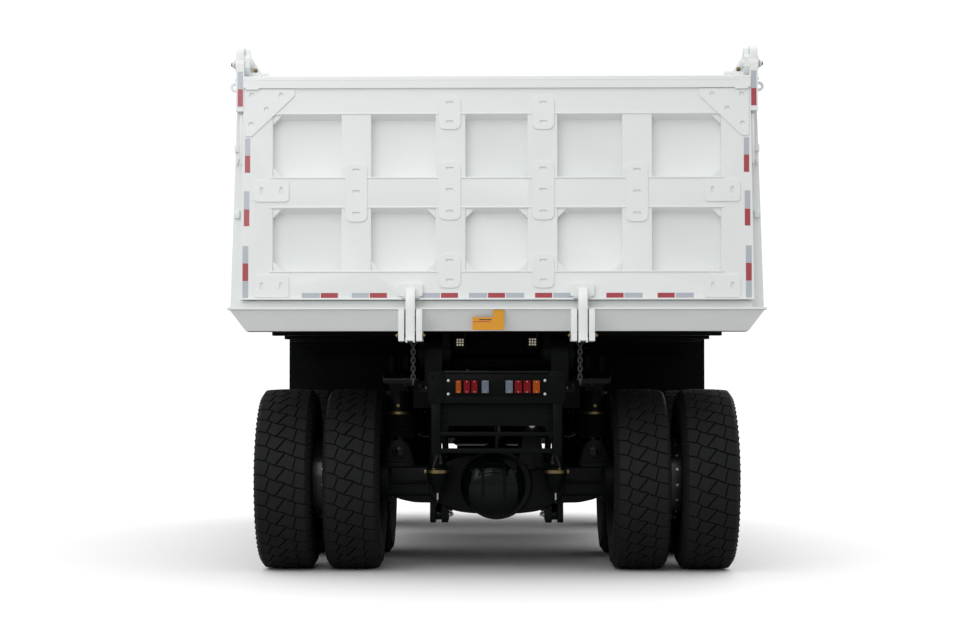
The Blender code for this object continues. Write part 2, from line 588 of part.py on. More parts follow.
def make_bed():
    back = GATE_BACK + GATE_DEPTH + RUN
    low, high = FLOOR_LOW + 0.03, BED_TOP - 0.02
    shapes = [
        box((-2.10, 2.10), (back, FLOOR_FRONT), (FLOOR_LOW, FLOOR_TOP)),
        prism("x", [(4.50, FLOOR_LOW), (4.62, FLOOR_LOW), (5.10, 4.20), (4.98, 4.20)], -2.10, 2.10),
        prism("x", [(4.88, 4.10), (5.10, 4.10), (5.26, 4.36), (7.90, 4.60), (7.90, 4.70),
                    (4.88, 4.46)], -2.02, 2.02),
        leaning_sill(),
        box((-2.25, 2.25), (SILL_BACK - 0.01, -1.30), (SILL_TOP - 0.008, SILL_TOP + 0.009)),
        box((-2.135, 2.135), (GATE_BACK + 0.03, -1.08), (SILL_TOP - 0.02, GATE_LOW - RUN)),
    ]
    cuts = []
    crossbeams = (-0.45, 0.55, 1.20, 2.35, 3.45, 4.30)
    for y in crossbeams:
        shapes.append(box((-1.98, 1.98), (y - 0.06, y + 0.06), (2.09, FLOOR_LOW + 0.02)))
    for side in (-1, 1):
        def leaf(depth_out, depth_in, z0, z1):
            return [(side * (bed_half(z0) - depth_in), z0), (side * (bed_half(z0) - depth_out), z0),
                    (side * (bed_half(z1) - depth_out), z1), (side * (bed_half(z1) - depth_in), z1)]

        shapes += [
            prism("y", leaf(RIB_DEPTH, RIB_DEPTH + WALL, low, high), back + 0.02, 4.75),
            prism("y", leaf(0.006, RIB_DEPTH + WALL + 0.02, BED_TOP - 0.15, BED_TOP), back + 0.01, 4.95),
            prism("y", leaf(0.006, RIB_DEPTH + WALL + 0.02, POST_FOOT + 0.004, FLOOR_LOW + 0.20),
                  back + 0.01, 4.63),
            prism("y", leaf(RIB_DEPTH - 0.005, RIB_DEPTH + WALL + 0.02, FLOOR_LOW - 0.01, FLOOR_LOW + 0.16),
                  back + 0.01, 4.63),
            prism("y", leaf(0.0, RIB_DEPTH + 0.12, POST_FOOT, BED_TOP + 0.005), back,
                  back + 0.22),
            prism("x", [(4.30, 4.05), (5.02, 4.05), (5.02, 4.44), (4.80, 4.44)],
                  side * 1.95, side * 2.15),
            box((side * RAIL_IN, side * RAIL_OUT), (-0.62, 4.55), (RAIL_TOP + RUN, FLOOR_LOW + 0.02)),
        ]
        ribs = 7
        for k in range(ribs):
            y = back + 0.22 + (4.55 - back - 0.22) * (k + 1) / ribs - 0.06
            shapes.append(prism("y", leaf(0.012, RIB_DEPTH + 0.02, low, high), y - 0.06, y + 0.06))
        for inner, outer in ((0.40, PIVOT_BLOCK_IN - PIN_FACE), (PIVOT_BLOCK_OUT + PIN_FACE, 0.66)):
            shapes += [
                box((side * inner, side * outer), (PIVOT_Y - 0.12, PIVOT_Y + 0.12),
                    (PIVOT_Z, FLOOR_LOW + 0.02)),
                bar((side * inner, PIVOT_Y, PIVOT_Z), (side * outer, PIVOT_Y, PIVOT_Z), 0.13, 16),
            ]
        cuts.append(bar((side * 0.30, PIVOT_Y, PIVOT_Z), (side * 0.75, PIVOT_Y, PIVOT_Z),
                        PIVOT_PIN_RADIUS + PIN_FIT, 12))
        for inner, outer in ((0.617, 0.665), (0.766, 0.813)):
            shapes.append(box((side * inner, side * outer), (EAR_BACK, SILL_BACK + SILL_LEAN + 0.03),
                              (2.01, 2.27)))
        shapes += [
            prism("x", [(back, 3.95), (-1.00, 3.95), (-1.00, BED_TOP), (-1.20, 4.41), (-1.27, 4.455),
                        (-1.33, 4.455), (-1.38, 4.39), (-1.38, 4.31), (-1.33, 4.26), (back, 4.225)],
                  side * 2.075, side * (ARM_IN - PIN_FACE)),
            prism("x", [(4.95, 3.66), (5.30, 3.70), (5.39, 3.76), (5.39, 3.86), (5.30, 3.92),
                        (4.98, 3.96)], side * 0.068, side * 0.11),
        ]
        cuts.append(bar((side * 1.9, HINGE_Y, HINGE_Z), (side * 2.3, HINGE_Y, HINGE_Z),
                        HINGE_PIN_RADIUS + PIN_FIT, 16))
    piece("dump_body", WHITE, shapes, cuts, pivot=(0, PIVOT_Y, PIVOT_Z))


def make_tailgate():
    front = GATE_BACK + GATE_DEPTH
    shapes = [
        prism("y", [(-GATE_HALF_LOW, GATE_LOW), (GATE_HALF_LOW, GATE_LOW),
                    (GATE_HALF_TOP, GATE_TOP), (-GATE_HALF_TOP, GATE_TOP)], GATE_BACK, front),
        box((-GATE_HALF_TOP, GATE_HALF_TOP), (GATE_BACK - 0.02, front - 0.02),
            (4.131, GATE_TOP - 0.002)),
    ]
    (inner_a, inner_b), (outer_a, outer_b) = GATE_RIBS_X
    columns = [(-GATE_STILE_X, -outer_b), (-outer_a, -inner_b), (-inner_a, inner_a),
               (inner_b, outer_a), (outer_b, GATE_STILE_X)]
    low_a, low_b, high_a, high_b = GATE_RIBS_Z
    panel = front - GATE_PANEL
    cuts = [prism("x", [(GATE_BACK - 0.1, low), (panel, low), (panel, high - RIB_SLOPE),
                        (GATE_BACK, high), (GATE_BACK - 0.1, high)], xs[0], xs[1])
            for xs in columns for low, high in ((low_a, low_b), (high_a, high_b))]
    for side in (-1, 1):
        shapes += [
            prism("x", [(GATE_BACK - 0.005, 3.94), (front, 3.94), (front, HINGE_Z - 0.02),
                        (front - 0.03, 4.432), (HINGE_Y, 4.455), (GATE_BACK + 0.02, 4.432),
                        (GATE_BACK - 0.005, 4.34)], side * ARM_IN, side * ARM_OUT),
            bar((side * 2.06, HINGE_Y, HINGE_Z), (side * 2.225, HINGE_Y, HINGE_Z),
                HINGE_PIN_RADIUS, 16),
            box((side * (STRIKER_X - 0.075), side * (STRIKER_X + 0.075)),
                (GATE_BACK - 0.03, GATE_BACK + 0.01), (GATE_LOW, 2.44)),
            prism("x", [(GATE_BACK - 0.02, 2.37), (GATE_BACK - 0.02, 2.44), (-1.50, 2.42),
                        (-1.53, 2.36), (-1.53, 2.02), (-1.46, 2.02), (-1.46, 2.37)],
                  side * (STRIKER_X - 0.037), side * (STRIKER_X + 0.037)),
        ]
    piece("tailgate", WHITE, shapes, cuts, pivot=(0, HINGE_Y, HINGE_Z))


# Hoist

def sleeve(outer, inner, low, high, floor):
    """A tube closed at its foot, as a profile of (height, radius)."""
    return [(low, 0.0), (low, outer), (high, outer), (high, inner), (low + floor, inner),
            (low + floor, 0.0)]


def make_hoist():
    centre = (0, HOIST_Y, 0)
    outer = HOIST_RADIUS
    low, high = HOIST_LOW_Z - 0.12, BARREL_TOP
    pivot = (0, HOIST_Y, HOIST_LOW_Z)
    piece("hoist_barrel", BLACK, [
        turned(sleeve(outer, outer - HOIST_WALL, low, high, 0.02), centre, "z", HOIST_SIDES),
        bar((outer - 0.01, HOIST_Y, HOIST_LOW_Z), (TRUNNION_IN, HOIST_Y, HOIST_LOW_Z), 0.08, 12),
        bar((0.01 - outer, HOIST_Y, HOIST_LOW_Z), (-TRUNNION_IN, HOIST_Y, HOIST_LOW_Z), 0.08, 12),
        bar((outer - 0.01, HOIST_Y, HOIST_LOW_Z), (0.27, HOIST_Y, HOIST_LOW_Z), 0.05, 12),
        bar((0.01 - outer, HOIST_Y, HOIST_LOW_Z), (-0.27, HOIST_Y, HOIST_LOW_Z), 0.05, 12),
    ], pivot=pivot)
    for stage in range(1, HOIST_STAGES + 1):
        outer -= HOIST_WALL + SLEEVE_FIT
        low += 0.02 + RUN
        high += 0.03
        if stage < HOIST_STAGES:
            piece(f"hoist_stage_{stage}", STEEL, [
                turned(sleeve(outer, outer - HOIST_WALL, low, high, 0.02), centre, "z",
                       HOIST_SIDES)], pivot=pivot)
            continue
        piece("hoist_rod", STEEL, [
            turned([(low, 0.0), (low, outer), (high, outer), (high, 0.0)], centre, "z",
                   HOIST_SIDES),
            bar((0, HOIST_Y, high - 0.02), (0, HOIST_Y, HOIST_EYE_Z), 0.05, 12),
            bar((-0.06, HOIST_Y, HOIST_EYE_Z), (0.06, HOIST_Y, HOIST_EYE_Z), 0.07, 16),
        ], pivot=pivot)


# Cab

def make_cab():
    back, front, low, top = CAB_BACK, CAB_FRONT, CAB_LOW, CAB_TOP
    waist = CAB_WAIST
    wall = CAB_WALL
    outline = [(back, low), (front, low), (front, waist), (front - 0.16, top - 0.12),
               (front - 0.30, top), (back + 0.08, top), (back, top - 0.10)]
    inside = [(back + wall, low + wall), (front - wall, low + wall), (front - wall, waist),
              (front - wall - 0.16, top - 0.15), (front - 0.36, top - wall),
              (back + 0.12, top - wall), (back + wall, top - 0.14)]
    screen_x = (CAB_LEFT + 0.12, CAB_RIGHT - 0.12)
    shapes = [prism("x", outline, CAB_LEFT, CAB_RIGHT)]
    shapes += [
        *path([(CAB_LEFT + 0.02, front - 0.12, 3.55), (CAB_LEFT - 0.14, front + 0.05, 3.55)], 0.018),
        *path([(CAB_LEFT + 0.02, front - 0.06, 3.10), (CAB_LEFT - 0.14, front + 0.05, 3.10)], 0.018),
        box((CAB_LEFT - 0.24, CAB_LEFT - 0.05), (front + 0.02, front + 0.08), (3.05, 3.60)),
    ]
    door_low, door_top, door_back, door_front = low + 0.07, top - 0.14, back + 0.62, front - 0.24
    hinge = (CAB_LEFT - DOOR_HINGE_OUT, door_front - RUN - DOOR_HINGE_IN)
    for z in DOOR_HINGES_Z:
        foot, head = z + DOOR_BARREL + PIN_FACE, z + 2 * DOOR_BARREL
        shapes += [bar((*hinge, foot), (*hinge, head), 0.018, 10),
                   box((hinge[0], CAB_LEFT + 0.01), (door_front + 0.002, door_front + 0.08),
                       (foot, head))]
    cuts = [
        prism("x", inside, CAB_LEFT + wall, CAB_RIGHT - wall),
        box(screen_x, (front - 0.30, front + 0.01), (waist + 0.06, top - 0.22)),
        box((CAB_LEFT - 0.01, CAB_LEFT + wall + 0.01), (door_back, door_front), (door_low, door_top)),
        box((CAB_RIGHT - wall - 0.01, CAB_RIGHT + 0.01), (back + 0.25, front - 0.34),
            (waist + 0.06, top - 0.22)),
        box(screen_x, (back - 0.01, back + wall + 0.01), (waist + 0.10, top - 0.26)),
    ]
    piece("cab_shell", WHITE, shapes, cuts)
    make_door(door_back + 2 * RUN, door_front - RUN, door_low + RUN, door_top - RUN, waist)
    glass = 0.012
    lean = (waist + 0.06 + SEAT, top - 0.22 - SEAT)
    slope = 0.16 / (top - 0.12 - waist)
    screen = [(front - 0.035 - slope * (z - waist) + d, z) for z, d in
              ((lean[0], 0), (lean[0], glass), (lean[1], glass), (lean[1], 0))]
    piece("windscreen", GLASS,
          [prism("x", screen, screen_x[0] + SEAT, screen_x[1] - SEAT)])
    piece("cab_side_glass", GLASS, [box((CAB_RIGHT - 0.036, CAB_RIGHT - 0.024),
                                        (back + 0.25 + SEAT, front - 0.34 - SEAT), lean)])
    piece("cab_rear_glass", GLASS, [box((screen_x[0] + SEAT, screen_x[1] - SEAT),
                                        (back + 0.024, back + 0.036),
                                        (waist + 0.10 + SEAT, top - 0.26 - SEAT))])
    make_cab_inside(low + wall)


def make_door(back, front, low, top, waist):
    hinge = (CAB_LEFT - DOOR_HINGE_OUT, front - DOOR_HINGE_IN)
    shapes = [box((CAB_LEFT, CAB_LEFT + CAB_WALL), (back, front), (low, top))]
    for z in DOOR_HINGES_Z:
        foot, head = z - DOOR_BARREL, z + DOOR_BARREL
        shapes += [bar((*hinge, foot), (*hinge, head), 0.018, 10),
                   box((hinge[0], CAB_LEFT + 0.01), (front - 0.08, front - 0.01), (foot, head))]
    window = ((CAB_LEFT - 0.05, CAB_LEFT + 0.1), (back + 0.10, front - 0.10), (waist + 0.05, top - 0.09))
    piece("cab_door", WHITE, shapes, [box(*window)], pivot=(*hinge, low))
    piece("door_glass", GLASS, [box((CAB_LEFT + 0.024, CAB_LEFT + 0.036),
                                    (window[1][0] + SEAT, window[1][1] - SEAT),
                                    (window[2][0] + SEAT, window[2][1] - SEAT))],
          pivot=(*hinge, low))


def make_cab_inside(floor):
    seat_x = (CAB_LEFT + CAB_RIGHT) / 2 - 0.05
    base = floor + SEAT
    piece("driver_seat", SEAT_CLOTH, [
        box((seat_x - 0.20, seat_x + 0.20), (6.20, 6.62), (base, base + 0.36)),
        box((seat_x - 0.27, seat_x + 0.27), (6.16, 6.72), (base + 0.34, base + 0.50)),
        prism("x", [(6.08, base + 0.44), (6.24, base + 0.44), (6.14, base + 1.18),
                    (6.02, base + 1.18)], seat_x - 0.26, seat_x + 0.26),
    ], bevel=0.03)
    face = CAB_FRONT - CAB_WALL - SEAT
    piece("dashboard", PLASTIC, [prism("x", [
        (face, base), (face, base + 0.90), (face - 0.22, base + 0.88), (face - 0.42, base + 0.78),
        (face - 0.36, base + 0.55), (face - 0.18, base + 0.40), (face - 0.14, base)],
        CAB_LEFT + CAB_WALL + 0.02, CAB_RIGHT - CAB_WALL - SEAT)])
    hub = Vector((seat_x, face - 0.56, base + 0.86))
    tilt = Vector((0, -0.50, 0.86)).normalized()
    wheel = turned([(-0.014, 0.20), (0.014, 0.20), (0.014, 0.225), (-0.014, 0.225)], (0, 0, 0), "z",
                   20)
    turn = Vector((0, 0, 1)).rotation_difference(tilt).to_matrix().to_4x4()
    wheel.transform(Matrix.Translation(hub) @ turn)
    across = turn @ Vector((1, 0, 0)) * 0.21
    foot = Vector((seat_x, face - 0.30, base + 0.02))
    piece("steering_wheel", PLASTIC, [
        wheel,
        bar(hub - across, hub + across, 0.014, 8),
        bar(hub + tilt * 0.02, hub - tilt * 0.09, 0.05),
        bar(hub, foot, 0.03, 10),
        box((seat_x - 0.06, seat_x + 0.06), (foot.y - 0.06, foot.y + 0.06), (base, base + 0.04)),
    ])


# Front end

def make_deck():
    """The steel deck with its wheel arches, rails and right-hand mirror."""
    shapes = [box((-DECK_HALF, DECK_HALF), (DECK_BACK, DECK_FRONT), (DECK_LOW, DECK_TOP))]
    hole = box((HOOD_LEFT - 0.01, HOOD_RIGHT + 0.01), (DECK_BACK + 0.28, DECK_FRONT + 0.1),
               (DECK_LOW - 0.1, DECK_TOP + 0.1))
    for side in (-1, 1):
        arch = ring_sector(FRONT_Y, AXLE_Z, FENDER_RADIUS, FENDER_RADIUS + 0.03, 20, 160, 10)
        edge = side * DECK_HALF
        shapes += [
            prism("x", arch, side * 1.30, edge),
            box((edge - side * 0.04, edge), (FRONT_Y - 0.55, FRONT_Y + 0.55),
                (AXLE_Z + FENDER_RADIUS - 0.20, DECK_LOW + 0.02)),
            box((side * 1.30, side * 1.34), (FRONT_Y - 0.40, FRONT_Y + 0.40),
                (AXLE_Z + FENDER_RADIUS - 0.08, DECK_LOW + 0.02)),
        ]
    web_cut = [prism("x", ring_sector(FRONT_Y, AXLE_Z, 0.2, FENDER_RADIUS + 0.001, 0, 180, 16),
                     -DECK_HALF - 0.1, DECK_HALF + 0.1)]
    top = DECK_TOP + 1.0
    front, side_x = DECK_FRONT - 0.04, DECK_HALF - 0.04
    foot = DECK_TOP - 0.03
    for height in (0.5, 1.0):
        z = DECK_TOP + height
        shapes += path([(HOOD_RIGHT + 0.12, front, z), (side_x, front, z), (side_x, 5.62, z)], 0.02)
        shapes += path([(-side_x, front, z), (HOOD_LEFT - 0.12, front, z)], 0.02)
    posts = [(HOOD_RIGHT + 0.12, front), (side_x, front), (side_x, 7.2), (side_x, 6.4),
             (side_x, 5.62), (-side_x, front), (-1.25, front), (HOOD_LEFT - 0.12, front)]
    for x, y in posts:
        shapes.append(bar((x, y, foot), (x, y, top), 0.02, 6))
    shapes += [
        *path([(side_x, front, 2.95), (side_x + 0.08, front + 0.10, 3.05)], 0.018),
        box((side_x - 0.04, side_x + 0.15), (front + 0.07, front + 0.13), (2.95, 3.45)),
    ]
    piece("front_deck", BLACK, shapes, [hole, *web_cut])


def make_front():
    shapes = [
        prism("x", [(BUMPER_BACK, 1.02), (8.24, 0.94), (BUMPER_FRONT, 1.02), (BUMPER_FRONT, 1.70),
                    (8.27, 1.94), (BUMPER_BACK, 1.94)], -2.12, 2.12),
        box((-0.50, -0.44), (RAIL_FRONT + SEAT, 8.1), (1.28, 1.66)),
        box((0.44, 0.50), (RAIL_FRONT + SEAT, 8.1), (1.28, 1.66)),
    ]
    for x in (-1.98, -1.46):
        shapes.append(box((x - 0.02, x + 0.02), (BUMPER_FRONT - 0.02, BUMPER_FRONT + 0.15), (0.50, 1.93)))
    for step in range(5):
        z = 0.52 + 0.33 * step
        shapes.append(box((-1.98, -1.46), (BUMPER_FRONT + 0.005, BUMPER_FRONT + 0.145), (z, z + 0.03)))
    cuts = [box((x - 0.22, x + 0.22), (8.25, 8.5), (1.28, 1.56)) for x in (-1.02, 1.45)]
    piece("front_bumper", WHITE, shapes, cuts)

    low, back, front, top = 1.76, 5.88, 8.03, 2.98
    piece("engine_hood", WHITE, [
        prism("x", [(back, DECK_TOP + 0.03), (back, top - 0.10), (back + 0.10, top), (front - 0.14, top),
                    (front, top - 0.12), (front, low), (7.60, low), (7.60, DECK_TOP + 0.03)],
              HOOD_LEFT, HOOD_RIGHT),
        box((HOOD_LEFT - 0.05, HOOD_RIGHT + 0.05), (back + 0.05, 7.55),
            (DECK_TOP + SEAT, DECK_TOP + 0.05)),
    ], [
        prism("x", [(back + 0.04, 1.5), (back + 0.04, top - 0.12), (back + 0.12, top - 0.04),
                    (front - 0.16, top - 0.04), (front - 0.04, top - 0.14), (front - 0.04, 1.5)],
              HOOD_LEFT + 0.04, HOOD_RIGHT - 0.04),
        box((HOOD_LEFT + 0.10, HOOD_RIGHT - 0.10), (front - 0.1, front + 0.1), (low + 0.12, top - 0.28)),
    ])
    piece("radiator", CAST, [
        box((HOOD_LEFT + 0.06, HOOD_RIGHT - 0.06), (7.70, 7.84), (RAIL_TOP + SEAT, 2.86))])
    piece("engine", CAST, [
        box((-0.34, 0.34), (5.98, 7.30), (1.14, 2.36)),
        box((-0.24, 0.24), (5.50, 6.0), (1.16, 1.66)),
        box((-0.20, 0.20), (4.50, 5.55), (1.14, 1.62)),
        box((-RAIL_IN + SEAT, RAIL_IN - SEAT), (6.05, 6.20), (1.30, 1.50)),
        box((-RAIL_IN + SEAT, RAIL_IN - SEAT), (7.0, 7.15), (1.30, 1.50)),
    ])
    piece("air_cleaner", BLACK, [
        bar((1.45, 7.35, DECK_TOP + SEAT), (1.45, 7.35, 2.62), 0.23, 20),
        bar((1.45, 7.35, 2.60), (1.45, 7.35, 2.86), 0.13, 16),
        path([(1.45, 7.35, 2.42), (HOOD_RIGHT + SEAT, 7.35, 2.42)], 0.09, 12)[0],
    ])
    piece("exhaust", STEEL, [
        bar((1.30, 5.86, DECK_TOP + SEAT), (1.30, 5.86, 2.20), 0.07, 12),
        bar((1.30, 5.86, 2.18), (1.30, 5.86, 3.15), 0.15, 20),
        *path([(1.30, 5.86, 3.10), (1.30, 5.86, 3.62), (1.48, 5.86, 3.80)], 0.06, 12),
    ])


def make_tanks():
    for name, side, top in (("fuel_tank", 1, 1.58), ("hydraulic_tank", -1, 1.72)):
        piece(name, BLACK, [
            box((side * 0.68, side * 1.62), (3.30, 4.80), (0.84, top)),
            box((side * (RAIL_OUT + SEAT), side * 0.72), (3.60, 3.75), (1.28, 1.52)),
            box((side * (RAIL_OUT + SEAT), side * 0.72), (4.35, 4.50), (1.28, 1.52)),
        ])


def build_truck():
    make_frame()
    make_lamp_guard()
    make_flaps()
    make_axles()
    make_wheels()
    make_bed()
    make_tailgate()
    make_hoist()
    make_cab()
    make_deck()
    make_front()
    make_tanks()


build_truck()
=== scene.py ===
"""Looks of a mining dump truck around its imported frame.

Metres, +Z up, the truck faces +Y and +X is its right side. Lengths along the truck are written
from the rear axle's line, and settle() moves every finished piece to where the frame has it.
"""

import math

import bmesh
import bpy
from mathutils import Matrix, Vector


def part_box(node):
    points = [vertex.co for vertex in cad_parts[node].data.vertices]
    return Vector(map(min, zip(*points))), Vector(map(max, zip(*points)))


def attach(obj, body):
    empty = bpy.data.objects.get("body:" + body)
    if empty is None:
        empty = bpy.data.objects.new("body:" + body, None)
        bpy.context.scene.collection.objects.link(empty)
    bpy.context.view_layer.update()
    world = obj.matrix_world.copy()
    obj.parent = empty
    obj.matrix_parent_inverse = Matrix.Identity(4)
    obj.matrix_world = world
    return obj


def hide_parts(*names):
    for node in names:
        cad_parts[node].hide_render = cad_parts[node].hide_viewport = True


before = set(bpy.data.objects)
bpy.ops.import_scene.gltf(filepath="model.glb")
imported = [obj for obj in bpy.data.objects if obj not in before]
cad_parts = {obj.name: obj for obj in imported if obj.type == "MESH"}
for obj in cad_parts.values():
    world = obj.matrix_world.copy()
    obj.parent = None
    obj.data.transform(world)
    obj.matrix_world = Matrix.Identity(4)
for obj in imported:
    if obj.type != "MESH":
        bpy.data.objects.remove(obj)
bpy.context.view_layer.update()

SIDES = (("left", -1), ("right", 1))
AXLES = (("rear", 0.0), ("middle", 1.8))


def middle(node):
    low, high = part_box(node)
    return (low + high) / 2


AXLE_LINE = middle("tyre_outer_rear_left").y
AXLE_Z = middle("tyre_outer_rear_left").z
FRONT_Y = middle("tyre_front_left").y - AXLE_LINE


# Camera, light and floor

CAMERA_BACK, CAMERA_HEIGHT = 17.5, 1.52
CAMERA_LIFT, CAMERA_TURN = 1.35, 0.98
FLOOR_SIZE = 90.0
FLOOR_THROWN, FLOOR_SEEN = (0.42, 0.42, 0.42, 1.0), (0.985, 0.982, 0.980, 1.0)
SKY_LOW, SKY_RISE, SKY_SEEN = 0.42, 1.05, 1.05


def make_studio():
    lens = bpy.data.cameras.new("camera")
    lens.lens, lens.sensor_width = 70.9, 36.0
    lens.shift_x, lens.shift_y = 0.027, 0.0445
    lens.clip_end = 200.0
    camera = bpy.data.objects.new("camera", lens)
    camera.location = (0.0, AXLE_LINE - CAMERA_BACK, CAMERA_HEIGHT)
    camera.rotation_euler = (math.radians(90 + CAMERA_LIFT), 0.0, math.radians(CAMERA_TURN))
    bpy.context.scene.collection.objects.link(camera)
    bpy.context.scene.camera = camera

    make_sky()
    for name, at, size, power in (
        ("rear_softbox", (-5.5, AXLE_LINE - 13.0, 9.0), 11.0, 580.0),
        ("front_softbox", (7.0, AXLE_LINE + 18.0, 8.0), 8.0, 480.0),
    ):
        lamp = bpy.data.lights.new(name, "AREA")
        lamp.shape, lamp.size, lamp.energy = "SQUARE", size, power
        made = bpy.data.objects.new(name, lamp)
        made.location = at
        aim = Vector((0.0, AXLE_LINE + 3.0, 1.5)) - Vector(at)
        made.rotation_euler = aim.to_track_quat("-Z", "Y").to_euler()
        bpy.context.scene.collection.objects.link(made)

    bm = bmesh.new()
    bmesh.ops.create_grid(bm, x_segments=2, y_segments=2, size=FLOOR_SIZE)
    mesh = bpy.data.meshes.new("floor")
    bm.to_mesh(mesh)
    bm.free()
    floor = bpy.data.objects.new("floor", mesh)
    bpy.context.scene.collection.objects.link(floor)
    mesh.materials.append(floor_look())


def floor_look():
    """A white floor that throws less light up at the truck than it shows."""
    look = paint("studio_floor", (0.93, 0.925, 0.92), 0.75, dirt=0.0, relief=0.0)
    tree = look.node_tree
    shader = tree.nodes["Principled BSDF"]
    seen = tree.nodes.new("ShaderNodeLightPath").outputs["Is Camera Ray"]
    tree.links.new(mixed(tree, seen, FLOOR_THROWN, FLOOR_SEEN), shader.inputs["Base Color"])
    return look


def make_sky():
    """A white backdrop, and a softer light that is strongest overhead."""
    world = bpy.data.worlds.new("studio")
    world.use_nodes = True
    bpy.context.scene.world = world
    bpy.context.scene.view_settings.view_transform = "Standard"
    tree = world.node_tree
    sky = tree.nodes["Background"]
    place = tree.nodes.new("ShaderNodeTexCoord").outputs["Generated"]
    height = add_node(tree, "ShaderNodeSeparateXYZ", Vector=place).outputs["Z"]
    seen = tree.nodes.new("ShaderNodeLightPath").outputs["Is Camera Ray"]
    overhead = maths(tree, "MULTIPLY", maths(tree, "MAXIMUM", height, 0.0), SKY_RISE)
    light = maths(tree, "ADD", overhead, SKY_LOW)
    sky.inputs["Color"].default_value = (1.0, 1.0, 1.0, 1.0)
    tree.links.new(maths(tree, "MAXIMUM", light, maths(tree, "MULTIPLY", seen, SKY_SEEN)),
                   sky.inputs["Strength"])


# Finishes. Shared effects are node groups; each material has its own shader.

def new_group(name, inputs, outputs):
    tree = bpy.data.node_groups.new(name, "ShaderNodeTree")
    for title, kind, value in inputs:
        socket = tree.interface.new_socket(title, in_out="INPUT", socket_type=f"NodeSocket{kind}")
        socket.default_value = value
    for title, kind in outputs:
        tree.interface.new_socket(title, in_out="OUTPUT", socket_type=f"NodeSocket{kind}")
    return tree, tree.nodes.new("NodeGroupInput"), tree.nodes.new("NodeGroupOutput")


def add_node(tree, kind, **values):
    """A node with its inputs set or linked: a socket is linked, anything else is its value."""
    node = tree.nodes.new(kind)
    for name, value in values.items():
        if name in ("operation", "blend_type", "data_type", "feature", "noise_dimensions", "invert",
                    "distance", "wave_type", "bands_direction", "interpolation_type", "clamp"):
            setattr(node, name, value)
            continue
        socket = node.inputs[int(name[1:])] if name[0] == "i" and name[1:].isdigit() else (
            node.inputs[name.replace("_", " ")])
        if isinstance(value, bpy.types.NodeSocket):
            tree.links.new(value, socket)
        else:
            socket.default_value = value
    return node


def maths(tree, operation, a, b, clamp=False):
    node = add_node(tree, "ShaderNodeMath", operation=operation, i0=a, i1=b)
    node.use_clamp = clamp
    return node.outputs[0]


def mixed(tree, share, a, b):
    node = tree.nodes.new("ShaderNodeMix")
    node.data_type = "RGBA"
    for socket, value in ((node.inputs[0], share), (node.inputs[6], a), (node.inputs[7], b)):
        if isinstance(value, bpy.types.NodeSocket):
            tree.links.new(value, socket)
        else:
            socket.default_value = value
    return node.outputs[2]


def make_skin_group():
    """A painted or moulded skin: broad shade changes, settled dust, fine relief."""
    tree, given, out = new_group(
        "weathered_skin",
        [("Base", "Color", (0.8, 0.8, 0.8, 1)), ("Dust", "Color", (0.4, 0.36, 0.3, 1)),
         ("Dirt", "Float", 0.2), ("Rough", "Float", 0.4), ("Grain", "Float", 60.0),
         ("Relief", "Float", 0.1)],
        [("Colour", "Color"), ("Roughness", "Float"), ("Normal", "Vector")])
    place = tree.nodes.new("ShaderNodeTexCoord").outputs["Object"]
    facing = tree.nodes.new("ShaderNodeNewGeometry").outputs["Normal"]
    up = add_node(tree, "ShaderNodeSeparateXYZ", Vector=facing).outputs["Z"]
    broad = add_node(tree, "ShaderNodeTexNoise", Vector=place, Scale=1.3, Detail=6.0,
                     Roughness=0.62).outputs[0]
    speck = add_node(tree, "ShaderNodeTexNoise", Vector=place, Scale=23.0, Detail=5.0,
                     Roughness=0.7).outputs[0]
    fine = add_node(tree, "ShaderNodeTexNoise", Vector=place, Scale=given.outputs["Grain"],
                    Detail=2.0).outputs[0]
    patch = maths(tree, "MULTIPLY", maths(tree, "SUBTRACT", broad, 0.46, True), 4.0, True)
    spots = maths(tree, "MULTIPLY", maths(tree, "SUBTRACT", speck, 0.52, True), 3.0, True)
    lying = maths(tree, "MULTIPLY", maths(tree, "SUBTRACT", up, 0.5, True), 1.2, True)
    cover = maths(tree, "ADD", maths(tree, "MULTIPLY", patch, maths(tree, "ADD", spots, 0.35)),
                  lying, True)
    mask = maths(tree, "MULTIPLY", cover, given.outputs["Dirt"], True)
    shade = maths(tree, "ADD", maths(tree, "MULTIPLY", maths(tree, "SUBTRACT", broad, 0.5), 0.10),
                  1.0)
    toned = add_node(tree, "ShaderNodeVectorMath", operation="SCALE", i0=given.outputs["Base"],
                     Scale=shade).outputs[0]
    colour = mixed(tree, mask, toned, given.outputs["Dust"])
    uneven = maths(tree, "MULTIPLY", maths(tree, "SUBTRACT", speck, 0.5), 0.22)
    rough = maths(tree, "ADD", maths(tree, "ADD", given.outputs["Rough"], uneven),
                  maths(tree, "MULTIPLY", mask, 0.35), True)
    bump = add_node(tree, "ShaderNodeBump", Strength=given.outputs["Relief"], Distance=0.002,
                    Height=fine).outputs[0]
    for title, value in (("Colour", colour), ("Roughness", rough), ("Normal", bump)):
        tree.links.new(value, out.inputs[title])
    return tree


def make_cast_group():
    """The pitted skin of a casting or of rubber, to add to a height."""
    tree, given, out = new_group("pitted_relief", [("Size", "Float", 40.0)], [("Height", "Float")])
    place = tree.nodes.new("ShaderNodeTexCoord").outputs["Object"]
    cells = add_node(tree, "ShaderNodeTexVoronoi", Vector=place,
                     Scale=given.outputs["Size"]).outputs["Distance"]
    noise = add_node(tree, "ShaderNodeTexNoise", Vector=place, Scale=given.outputs["Size"],
                     Detail=4.0).outputs[0]
    tree.links.new(maths(tree, "ADD", maths(tree, "MULTIPLY", cells, 0.4), noise),
                   out.inputs["Height"])
    return tree


SKIN = make_skin_group()
PITTED = make_cast_group()
DUST = (0.36, 0.33, 0.28, 1.0)


